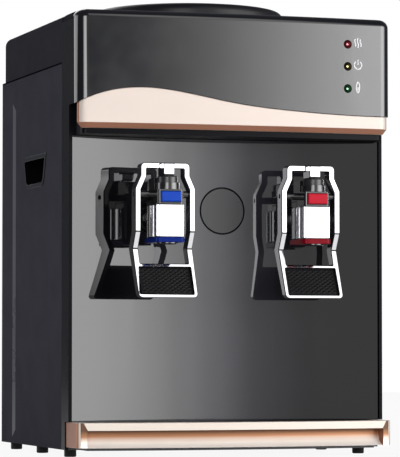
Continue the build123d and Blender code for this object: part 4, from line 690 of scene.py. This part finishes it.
@dataclass
class Casing:
    """Front moulding, cover, bottle seat, trims, panel, sides, rear and feet.

    Turns and slopes are parts of a face's normal.
    """

    shop: Workshop
    shell_edge: float = 0.7
    shell_angle: float = 42.0
    trim_edge: float = 0.35
    panel_edge: float = 0.5
    sheet_edge: float = 0.6
    cup_edge: float = 0.3
    groove_front: float = 17.9
    wall_turn: float = 0.5
    field_turn: float = -0.1
    painted_shade_slope: float = -0.2
    flank: float = 0.8
    side_turn: float = 0.985
    corner_back: float = -13.8
    corner_slope: float = 0.1
    soffit: float = 289.5
    soffit_slope: float = -0.5
    lip_top: float = 320.0
    cove_top: float = 25.2
    cove_front: float = -36.6
    cove_turn: float = 0.3
    cove_painted_shade_slope: float = 0.95

    def build(self) -> None:
        """Builds all the pieces of the casing."""
        refine, second = self.shop.refine, self.shop.second
        shell = refine("front_shell", POLISHED_BLACK, self.shell_edge, 3, angle=self.shell_angle)
        # The shell's flanks take the side paint with its painted seam shade.
        second(shell, FLANK_PAINTED_SEAM_SHADE, self._flank)
        second(shell, RAIL_BLACK, self._under_trim)
        refine("top_cover", COVER_PAINT, self.shell_edge, 3)
        refine("bottle_seat", SEAT_BLACK, self.shell_edge, 3)
        # The panel's finish carries painted reflection across it.
        panel = refine("front_panel", PANEL_BLACK_PAINTED_REFLECTION, self.panel_edge, 3)
        second(panel, RAIL_BLACK, lambda face: abs(face.normal.y) < self.wall_turn)
        plug = refine("centre_plug", PLUG_BLACK, self.panel_edge, 3)
        groove = to_frame(0, self.groove_front, 0).y
        second(plug, RAIL_BLACK, lambda face: face.center.y > groove)
        trim = refine("header_trim", CHAMPAGNE, self.trim_edge, 2)
        # Painted shade on the chamfer and the ends of the header trim.
        second(trim, CHAMPAGNE_PAINTED_SHADE, self._painted_shade_faces)
        # The band of the base trim takes the lighter champagne copy as painted light.
        skirt = refine("base_trim", CHAMPAGNE_BASE_PAINTED_LIGHT, self.trim_edge, 2)
        # Painted light and shade across the cove.
        second(skirt, CHAMPAGNE_COVE_PAINTED_SHADE, self._painted_cove_faces)
        # Painted shade on the ends of the base trim.
        second(skirt, CHAMPAGNE_PAINTED_SHADE, lambda face: abs(face.normal.x) > self.flank)
        for side in ("right", "left"):
            # The side sheets carry painted shade at their top seam.
            sheet = refine(f"{side}_side_panel", SHEET_PAINTED_SEAM_SHADE, self.sheet_edge, 3)
            # Painted highlight on the forward slope round the pressed field.
            second(sheet, FIELD_EDGE_PAINTED_HIGHLIGHT, self._painted_highlight_faces)
            refine(f"{side}_handle_cup", CUP_BLACK, self.cup_edge, 3)
        for node in ("rear_panel", "base_pan"):
            refine(node, REAR_PAINT, self.trim_edge, 2)
        refine("feet", FOOT_RUBBER, self.shell_edge, 3)

    def _flank(self, face: Face) -> bool:
        """Tells the flat sides of the shell and the rounding above them from its bowed face."""
        behind = face.center.y > to_frame(0, self.corner_back, 0).y
        return abs(face.normal.x) > self.side_turn or behind and face.normal.z > self.corner_slope

    def _under_trim(self, face: Face) -> bool:
        """Tells the rails, the soffit and the set-back lip behind the trim from the header's face."""
        lip = face.center.z < self.lip_top * MM and face.normal.y < 0
        return face.center.z < self.soffit * MM or face.normal.z < self.soffit_slope or lip

    def _painted_shade_faces(self, face: Face) -> bool:
        """Tells the chamfer under the header trim and its turned-back ends, which take the darker champagne
        as painted shade.
        """
        chamfer = face.normal.z < self.painted_shade_slope and face.normal.y < self.painted_shade_slope
        return chamfer or abs(face.normal.x) > self.flank

    def _painted_highlight_faces(self, face: Face) -> bool:
        """Tells the forward slope round the pressed field of a side, which takes a painted highlight."""
        return face.normal.y < self.field_turn and abs(face.normal.x) > self.flank

    def _painted_cove_faces(self, face: Face) -> bool:
        """Tells the faces of the base trim's cove, which take painted light and shade, from the band above
        it.

        Args:
            face: A face of the trim.

        Returns:
            Whether it takes the cove's painted light and shade.
        """
        below = face.center.z < self.cove_top * MM and face.center.y > to_frame(0, self.cove_front, 0).y
        forward = abs(face.normal.x) < self.wall_turn and face.normal.y < self.cove_turn
        return below and forward and face.normal.z < self.cove_painted_shade_slope


@dataclass(frozen=True)
class Lens:
    """One indicator light: its node, its height, the finish of its dome with a painted glow, and the finish
    of its painted glint.
    """

    node: str
    z: float
    dome: Finish
    painted_glint_finish: Finish


@dataclass
class Lights:
    """Indicator lights of the header with their printed signs and their board."""

    shop: Workshop
    lenses: tuple[Lens, ...] = (
        Lens("red_lens", 375.6, RED_DOME_PAINTED_GLOW, RED_PAINTED_GLINT),
        Lens("amber_lens", 355.3, AMBER_DOME_PAINTED_GLOW, AMBER_PAINTED_GLINT),
        Lens("green_lens", 334.9, GREEN_DOME_PAINTED_GLOW, GREEN_PAINTED_GLINT),
    )
    x: float = 106.0
    lens_edge: float = 0.5
    board_edge: float = 0.2
    face_middle: float = -31.0
    face_arc: float = 1878.0
    sign_x: float = 116.2
    sign_rise: float = 1.5
    stroke: float = 0.95
    waves: tuple[Pair, ...] = ((-2.7, 7.0), (0.0, 9.0), (2.7, 7.0))
    wave_sway: float = 0.45
    wave_steps: int = 12
    ring_radius: float = 3.7
    ring_sweep: Pair = (125.0, 290.0)
    ring_steps: int = 24
    ring_bar: Pair = (0.4, 4.9)
    gauge_half: Pair = (1.6, 4.8)
    gauge_bar: Pair = (-2.8, 0.2)
    painted_glint_radius: float = 0.95
    painted_glint_rise: float = 0.22
    painted_glint_shift: Pair = (-0.9, -0.3)
    painted_glint_sides: tuple[int, int] = (16, 8)

    def build(self) -> None:
        """Builds the three lenses, their signs and the board behind them."""
        for lens in self.lenses:
            self.shop.refine(lens.node, lens.dome, self.lens_edge, 4)
            # Each lens gets a painted glint.
            self._spark(lens)
        self.shop.refine("indicator_board", CIRCUIT, self.board_edge, 1)
        for name, strokes in self._signs().items():
            self.shop.ink(name, strokes, self.stroke, self._lay, "front_shell")

    def _signs(self) -> dict[str, Strokes]:
        """Draws three rising waves, an open ring with a bar, and an upright gauge with its level.

        Returns:
            The lines of each sign, beside its lens.
        """
        heat, power, water = [lens.z + self.sign_rise for lens in self.lenses]
        parts = [step / self.wave_steps for step in range(self.wave_steps + 1)]
        sways = [self.wave_sway * math.sin(2 * math.pi * part) for part in parts]
        start, sweep = self.ring_sweep
        turns = [math.radians(start + sweep * step / self.ring_steps) for step in range(self.ring_steps + 1)]
        radius = self.ring_radius
        return {
            "heat_sign": [
                [(x + sway, heat - tall / 2 + tall * part) for sway, part in zip(sways, parts)]
                for x, tall in self.waves
            ],
            "power_sign": [
                [(radius * math.cos(turn), power + radius * math.sin(turn)) for turn in turns],
                [(0.0, power + height) for height in self.ring_bar],
            ],
            "water_sign": [
                oval_line(*self.gauge_half, water),
                [(0.0, water + height) for height in self.gauge_bar],
            ],
        }

    def _lay(self, x: float, z: float, lift: float) -> Vector:
        """Lays a point of a sign on the header's bowed face, or a lift in front of it."""
        face = self.face_middle + self.face_arc - math.sqrt(self.face_arc ** 2 - (self.sign_x + x) ** 2)
        return to_frame(self.sign_x + x, face - lift, z)

    def _spark(self, lens: Lens) -> None:
        """Sets a small glowing dot on the dome of a lens: a painted glint.

        Args:
            lens: The light.
        """
        across, up = self.painted_glint_shift
        centre = to_frame(self.x + across, 0, lens.z + up)
        centre.y = min(vertex.co.y for vertex in self.shop.nodes[lens.node].data.vertices)
        radius, rise = self.painted_glint_radius * MM, self.painted_glint_rise * MM
        matrix = Matrix.Translation(centre) @ Matrix.Diagonal((radius, rise, radius, 1.0))
        around, along = self.painted_glint_sides
        work = bmesh.new()
        bmesh.ops.create_uvsphere(work, u_segments=around, v_segments=along, radius=1.0, matrix=matrix)
        self.shop.dress(settle(work, f"{lens.node}_spark"), lens.painted_glint_finish, lens.node, replaces=False)


@dataclass
class Tap:
    """One push-lever tap."""

    shop: Workshop
    side: str
    x: float
    mark: Finish
    ring: Finish
    stem_y: float = -36.9
    spring_span: Pair = (239.6, 249.4)
    plunger_travel: float = 3.7
    block_back: float = -9.4
    block_top: float = 226.3
    block_foot: float = 197.0
    cheek_turn: float = 0.9
    pad_half_width: float = 24.0
    pad_top: Pair = (-25.37, 170.4)
    pad_bottom: Pair = (-37.24, 146.0)
    diamond_pitch: Pair = (5.2, 3.6)
    diamond_share: float = 0.88
    diamond_rise: float = 0.9
    flute_half: float = 11.8
    flute_bulge: float = 1.1
    flute_sides: int = 32
    flute_edge: float = 0.4
    flute_angle: float = 40.0
    flute_span: Pair = (197.3, 225.4)
    flutes: tuple[Pair, ...] = ((-43.4, 5.0), (-30.0, 5.0), (-20.6, 10.0))

    def build(self) -> None:
        """Builds all the pieces of the tap, each with the width and steps of its edges."""
        for part, finish, edge, steps in (
            ("tap_body", SATIN_SILVER, 0.7, 3),
            ("tap_head", TAP_BLACK, 0.6, 3),
            ("plunger", PLUNGER_BLACK, 0.4, 3),
            ("valve_seal", FOOT_RUBBER, 0.3, 2),
            ("lever", CHROME, 0.7, 4),
            ("lever_pad", PAD_RUBBER, 0.6, 2),
            ("lever_pin", RAIL_BLACK, 0.3, 2),
            ("lock_button", self.mark, 0.3, 2),
            ("colour_ring", self.ring, 0.7, 3),
        ):
            piece = self.shop.refine(f"{self.side}_{part}", finish, edge, steps)
            if part == "tap_body":
                self.shop.second(piece, TAP_BLACK, self._rear_part)
            if part in ("lever", "tap_body"):
                # Their rounded edges take dark chrome as a painted dark reflection.
                self.shop.outline(piece, LEVER_RIM_PAINTED_REFLECTION)
        self._spring()
        self._grip()
        self._flutes()

    def _spring(self) -> None:
        """Stands the valve spring on the head, riding on the casing, with a mesh of its own."""
        spring = self.shop.refine(f"{self.side}_valve_spring", STEEL, 0.0, 1, body="casing")
        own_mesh(spring)

    def _rear_part(self, face: Face) -> bool:
        """Tells the black shank, flange, step and cheeks of the body from its bright block."""
        dark = face.center.y > to_frame(0, self.block_back, 0).y or abs(face.normal.x) > self.cheek_turn
        return dark or not self.block_foot <= face.center.z / MM <= self.block_top

    def _grip(self) -> None:
        """Covers the pad with raised diamonds in staggered rows."""
        (top_y, top_z), (bottom_y, bottom_z) = self.pad_top, self.pad_bottom
        slope = math.hypot(top_y - bottom_y, top_z - bottom_z)
        wide, tall = self.diamond_pitch
        across = int(2 * self.pad_half_width / wide) - 1
        along = int(slope / tall) - 1
        sketch = NodeSketch(f"{self.side}_grip")
        diamond = sketch.node(
            "MeshCone", Vertices=4, Radius_Top=0.0, Radius_Bottom=0.5,
            Depth=sketch.size("Rise", "Float", self.diamond_rise * MM),
        )
        spans = (self.diamond_share * wide * MM, self.diamond_share * tall * MM, 1.0)
        shaped = sketch.node(
            "Transform", Geometry=diamond.outputs["Mesh"], Scale=sketch.size("Diamond", "Vector", spans),
        )
        rows = []
        for name, less in (("Full rows", 0), ("Odd rows", 1)):
            grid = sketch.node(
                "MeshGrid", Size_X=(across - less) * wide * MM, Size_Y=(along - less) * tall * MM,
                Vertices_X=sketch.size(f"{name} across", "Int", across + 1 - less),
                Vertices_Y=sketch.size(f"{name} along", "Int", along + 1 - less),
            )
            rows.append(grid.outputs["Mesh"])
        spread = sketch.node("InstanceOnPoints", Points=sketch.join(rows), Instance=shaped.outputs[0])
        lean = math.atan2(top_y - bottom_y, top_z - bottom_z)
        middle = to_frame(self.x, (top_y + bottom_y) / 2, (top_z + bottom_z) / 2)
        placed = sketch.node(
            "Transform", Geometry=spread.outputs[0], Translation=sketch.size("Place", "Vector", middle),
            Rotation=sketch.size("Lean", "Rotation", Euler((math.pi / 2 - lean, 0, 0))),
        )
        piece = put(f"{self.side}_grip", sketch.mesh(placed.outputs[0], PAD_RUBBER))
        self.shop.dress(piece, PAD_RUBBER, f"{self.side}_lever_pad", replaces=False)

    def _flutes(self) -> None:
        """Puts upright flutes on both cheeks of the tap body."""
        sketch = NodeSketch(f"{self.side}_flutes")
        low, high = self.flute_span
        height = sketch.size("Height", "Float", (high - low) * MM)
        columns = []
        for y, width in self.flutes:
            column = sketch.node("MeshCylinder", Vertices=self.flute_sides, Radius=1.0, Depth=height)
            for side in (-1, 1):
                middle = to_frame(self.x + side * self.flute_half, y, (low + high) / 2)
                placed = sketch.node(
                    "Transform", Geometry=column.outputs["Mesh"], Translation=middle,
                    Scale=(self.flute_bulge * MM, width / 2 * MM, 1.0),
                )
                columns.append(placed.outputs[0])
        mesh = sketch.mesh(sketch.join(columns), CHROME)
        for face in mesh.polygons:
            face.use_smooth = True
        piece = put(f"{self.side}_flutes", mesh)
        self.shop.round_edges(piece, self.flute_edge, 3, self.flute_angle)
        self.shop.dress(piece, CHROME, f"{self.side}_tap_body", replaces=False)


@dataclass
class Rear:
    """Switches with their marks, cord gland, drain cap and screws at the back."""

    shop: Workshop
    face: float = 236.0
    rocker_xs: Pair = (83.0, 109.0)
    rocker_place: Pair = (235.5, 150.0)
    rocker_face: float = 5.0
    rocker_tilt: float = 10.0
    on_span: Pair = (3.0, 5.8)
    on_width: float = 0.7
    off_half: Pair = (1.4, 1.5)
    off_middle: float = -4.4
    off_width: float = 0.6
    off_steps: int = 20
    screw_x: float = 138.6
    screw_rows: Pair = (26.0, 338.0)
    screw_grid: tuple[int, int] = (2, 3)
    screw_turn: float = 0.7
    screw_edge: float = 0.12
    screw_steps: int = 24
    screw_profile: tuple[Pair, ...] = (
        (0.0, -9.0), (1.0, -9.0), (1.6, -8.2), (1.6, 0.02), (3.4, 0.02), (3.4, 0.9), (3.1, 1.5), (2.3, 1.9),
        (0.0, 2.0),
    )
    recess: Triple = (4.0, 0.8, 2.4)
    recess_middle: float = 2.1

    def build(self) -> None:
        """Builds the pieces on the rear panel."""
        refine = self.shop.refine
        refine("switch_housings", SWITCH_BLACK, 0.4, 2)
        switches = (("heat_switch", SWITCH_RED), ("cool_switch", SWITCH_BLUE))
        for (node, finish), x in zip(switches, self.rocker_xs):
            refine(node, finish, 0.5, 3)
            self._marks(node, x)
        refine("cord_gland", FOOT_RUBBER, 0.5, 2)
        refine("drain_cap", TAP_BLACK, 0.3, 2)
        self._screws()

    def _marks(self, node: str, x: float) -> None:
        """Prints the line and the ring of an on and off switch on a rocker.

        Args:
            node: The rocker.
            x: Its place across the rear.
        """
        slope = math.tan(math.radians(self.rocker_tilt))
        turn = Matrix.Rotation(math.radians(self.rocker_tilt), 3, "X")

        def lay(across: float, up: float, lift: float) -> Vector:
            """Lays a point on the two halves of the rocker's face."""
            point = turn @ Vector((across, self.rocker_face + lift - abs(up) * slope, up))
            return to_frame(x + point.x, self.rocker_place[0] + point.y, self.rocker_place[1] + point.z)

        line = [(0.0, height) for height in self.on_span]
        ring = oval_line(*self.off_half, self.off_middle, self.off_steps)
        self.shop.ink(f"{node}_on_mark", [line], self.on_width, lay, node)
        self.shop.ink(f"{node}_off_mark", [ring], self.off_width, lay, node)

    def _screw(self) -> Piece:
        """Makes one pan-head screw with a cross recess, its axis upright.

        Returns:
            The screw, as a source for the nodes.
        """
        work = bmesh.new()
        points = [work.verts.new((radius * MM, 0, height * MM)) for radius, height in self.screw_profile]
        lines = [work.edges.new(pair) for pair in zip(points, points[1:])]
        bmesh.ops.spin(work, geom=points + lines, cent=(0, 0, 0), axis=(0, 0, 1), angle=2 * math.pi,
                       steps=self.screw_steps)
        bmesh.ops.remove_doubles(work, verts=work.verts, dist=WELD)
        bmesh.ops.recalc_face_normals(work, faces=work.faces)
        screw = settle(work, "screw")
        tools = bmesh.new()
        long, wide, deep = [part * MM for part in self.recess]
        middle = Matrix.Translation((0, 0, self.recess_middle * MM))
        for size in ((long, wide, deep), (wide, long, deep)):
            bmesh.ops.create_cube(tools, size=1.0, matrix=middle @ Matrix.Diagonal((*size, 1.0)))
        cutter = settle(tools, "screw_cutter")
        cut = screw.modifiers.new("recess", "BOOLEAN")
        cut.object = cutter
        cut.solver = "EXACT"
        cut.use_self = True
        screw.data = bake(screw)
        screw.modifiers.remove(cut)
        bpy.data.objects.remove(cutter)
        return screw

    def _screws(self) -> None:
        """Sets the six screws of the rear panel, each turned its own way."""
        source = self._screw()
        low, high = self.screw_rows
        columns, rows = self.screw_grid
        sketch = NodeSketch("rear_screw_rows")
        screw = sketch.node("ObjectInfo", Object=sketch.size("Screw", "Object", source))
        grid = sketch.node(
            "MeshGrid", Size_X=sketch.size("Spread", "Float", 2 * self.screw_x * MM),
            Size_Y=sketch.size("Rise", "Float", (high - low) * MM),
            Vertices_X=sketch.size("Columns", "Int", columns), Vertices_Y=sketch.size("Rows", "Int", rows),
        )
        each = sketch.size("Turn of each", "Float", self.screw_turn)
        turned = sketch.math("MULTIPLY", sketch.node("InputIndex").outputs[0], each)
        spread = sketch.node(
            "InstanceOnPoints", Points=grid.outputs["Mesh"], Instance=screw.outputs["Geometry"],
            Rotation=sketch.node("ShaderNodeCombineXYZ", Z=turned).outputs[0],
        )
        placed = sketch.node(
            "Transform", Geometry=spread.outputs[0],
            Translation=sketch.size("Place", "Vector", to_frame(0, self.face, (low + high) / 2)),
            Rotation=sketch.size("Facing", "Rotation", Euler((-math.pi / 2, 0, 0))),
        )
        piece = put("rear_screw_heads", sketch.mesh(placed.outputs[0], STEEL))
        bpy.data.objects.remove(source)
        self.shop.round_edges(piece, self.screw_edge, 2)
        self.shop.dress(piece, STEEL, "rear_screws")


@dataclass
class Innards:
    """Tanks, cooler, fan, heater, tubes and power board, each with the width of its edges."""

    shop: Workshop
    pieces: tuple[tuple[str, Finish, float], ...] = (
        ("cold_tank", STEEL, 0.6), ("hot_tank", STEEL, 0.5), ("cold_insulation", FOAM, 1.5),
        ("cooling_module", ALUMINIUM, 0.4), ("heat_sink", ALUMINIUM, 0.3), ("fan_frame", FAN_BLACK, 0.4),
        ("fan_impeller", FAN_BLACK, 0.3), ("heater_band", HEATER_STEEL, 0.4),
        ("thermostats", SWITCH_BLACK, 0.5), ("cold_tube", SILICONE, 0.4), ("feed_tube", SILICONE, 0.4),
        ("hot_tube", SILICONE, 0.4), ("power_board", CIRCUIT, 0.3), ("tap_gaskets", FOOT_RUBBER, 0.2),
        ("tap_nuts", TAP_BLACK, 0.5),
    )

    def build(self) -> None:
        """Builds the pieces inside the casing."""
        for node, finish, edge in self.pieces:
            self.shop.refine(node, finish, edge, 2)


@dataclass(frozen=True)
class Band:
    """A soft strip of light in the room.

    Its azimuths are in degrees to the right of the front, its heights are those of a unit sphere.
    """

    start: float
    full: float
    fade: float
    end: float
    level: float
    low: Pair = (-0.25, 0.0)
    high: Pair = (0.56, 0.28)


@dataclass
class Studio:
    """White paper, a room with soft strips of light round the front, and the camera."""

    lens: float = 220.6
    sensor: float = 36.0
    camera_place: Triple = (-0.805, -2.51305, 0.10165)
    camera_pitch: float = 2.366
    camera_yaw: float = 17.866
    clip_end: float = 50.0
    room: float = 0.15
    room_tint: Triple = (0.8, 0.84, 1.0)
    bands: tuple[Band, ...] = (
        Band(-2.0, 38.0, 54.0, 82.0, 8.6, high=(0.55, 0.27)),
        Band(-6.0, -14.0, -28.0, -42.0, 6.8),
        Band(12.0, 2.0, -14.0, -30.0, 0.38),
        Band(18.0, 9.0, -6.0, -24.0, 0.6, high=(0.095, 0.072)),
        Band(-90.0, -100.0, -138.0, -150.0, 3.0),
        Band(4.0, 14.0, 28.0, 40.0, 1.7, low=(0.42, 0.52), high=(0.86, 0.76)),
    )
    lamp_watts: float = 22.0
    lamp_size: float = 1.6
    lamp_place: Triple = (-0.4, 2.2, 1.7)
    lamp_turn: Triple = (-55.0, 0.0, -10.0)
    paper: float = 0.6
    floor_half: Pair = (0.8, 2.2)
    floor_ahead: float = 1.1
    floor_white: float = 0.92
    backdrop_half: Pair = (0.8, 0.8)
    backdrop_ahead: float = 6.0
    backdrop_rise: float = 0.6
    backdrop_white: float = 1.0

    def build(self) -> None:
        """Sets up camera, lamp, world, floor and backdrop."""
        self._camera()
        self._world()
        self._rear_lamp()
        yaw = math.radians(self.camera_yaw)
        along = Vector((math.sin(yaw), math.cos(yaw), 0))
        behind = along * self.backdrop_ahead + Vector((0, 0, self.backdrop_rise))
        flat = Euler((0, 0, -yaw))
        upright = Euler((math.radians(90), 0, -yaw))
        self._sheet("floor", self.floor_half, along * self.floor_ahead, flat, self.floor_white)
        self._sheet("backdrop", self.backdrop_half, behind, upright, self.backdrop_white)

    def _camera(self) -> None:
        """Puts the camera where the photograph was taken from."""
        data = bpy.data.cameras.new("camera")
        data.lens = self.lens
        data.sensor_width = self.sensor
        data.clip_end = self.clip_end
        camera = put("camera", data)
        camera.location = self.camera_place
        camera.rotation_euler = (math.radians(90 + self.camera_pitch), 0, math.radians(-self.camera_yaw))
        bpy.context.scene.camera = camera

    def _rear_lamp(self) -> None:
        """Hangs a soft lamp behind and above, for the rear of the dispenser."""
        data = bpy.data.lights.new("rear_lamp", "AREA")
        data.size = self.lamp_size
        data.energy = self.lamp_watts
        lamp = put("rear_lamp", data)
        lamp.location = self.lamp_place
        lamp.rotation_euler = [math.radians(turn) for turn in self.lamp_turn]

    def _sheet(self, name: str, half: Pair, place: Vector, turn: Euler, share: float) -> None:
        """Puts up a sheet of white paper that still takes a shadow.

        Rays that see it find its own white; rays that only light the object find plain paper.

        Args:
            name: Name of the sheet.
            half: Half its width and length in metres.
            place: Its middle.
            turn: How it is turned from lying flat.
            share: How much of its white is its own.
        """
        paper = bpy.data.materials.new(f"{name}_paper")
        paper.use_nodes = True
        paper.node_tree.nodes.clear()
        wiring = Wiring(paper.node_tree)
        rays = wiring.node("LightPath").outputs
        seen = rays["Is Camera Ray"]
        for ray in ("Is Glossy Ray", "Is Transmission Ray"):
            seen = wiring.math("MAXIMUM", seen, rays[ray])
        diffuse = wiring.node("BsdfDiffuse", Color=(self.paper, self.paper, self.paper, 1))
        mix = wiring.node("MixShader", Fac=wiring.math("MULTIPLY", seen, share))
        wiring.plug(mix.inputs[1], diffuse.outputs["BSDF"])
        wiring.plug(mix.inputs[2], wiring.node("Emission").outputs["Emission"])
        wiring.node("OutputMaterial", Surface=mix.outputs["Shader"])
        corners = [Vector((x * half[0], y * half[1], 0)) for x, y in ((-1, -1), (1, -1), (1, 1), (-1, 1))]
        mesh = bpy.data.meshes.new(name)
        mesh.from_pydata([turn.to_matrix() @ corner + place for corner in corners], [], [(0, 1, 2, 3)])
        mesh.materials.append(paper)
        sheet = put(name, mesh)

    def _world(self) -> None:
        """Makes the room: dim all round, with the bands of light."""
        world = bpy.data.worlds.new("room")
        world.use_nodes = True
        wiring = Wiring(world.node_tree)
        split = wiring.node("SeparateXYZ", Vector=wiring.node("TexCoord").outputs["Generated"]).outputs
        azimuth = wiring.math("ARCTAN2", split["X"], wiring.math("MULTIPLY", split["Y"], -1.0))
        level = self.room
        for band in self.bands:
            low, high = [self._step(wiring, split["Z"], *ends) for ends in (band.low, band.high)]
            rise, fade = [
                self._step(wiring, azimuth, math.radians(start), math.radians(end))
                for start, end in ((band.start, band.full), (band.end, band.fade))
            ]
            strip = wiring.math("MULTIPLY", wiring.math("POWER", rise, 2.0), fade)
            strip = wiring.math("MULTIPLY", strip, wiring.math("MULTIPLY", low, high))
            level = wiring.math("MULTIPLY_ADD", strip, band.level, level)
        tint = wiring.blend("MIX", level, (*self.room_tint, 1), (1, 1, 1, 1))
        wiring.feed(world.node_tree.nodes["Background"], Color=tint, Strength=level)
        bpy.context.scene.world = world

    @staticmethod
    def _step(wiring: Wiring, value: Socket, start: float, end: float) -> Socket:
        """Adds a smooth step from 0 at a start to 1 at an end, above or below the start."""
        results = (1.0, 0.0) if start > end else (0.0, 1.0)
        return wiring.span(value, (min(start, end), max(start, end)), results, "SMOOTHSTEP")


def main() -> None:
    """Builds the dispenser and its studio."""
    logging.basicConfig(level=logging.INFO, format="%(name)s: %(message)s")
    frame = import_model()
    bpy.context.scene.view_settings.view_transform = "Standard"
    shop = Workshop(frame)
    for assembly in (
        Casing(shop), Lights(shop), Tap(shop, "cold", -69.0, COLD_BLUE, RING_BLUE),
        Tap(shop, "hot", 69.0, HOT_RED, RING_RED), Rear(shop), Innards(shop),
    ):
        assembly.build()
    Studio().build()


if __name__ == "__main__":
    main()
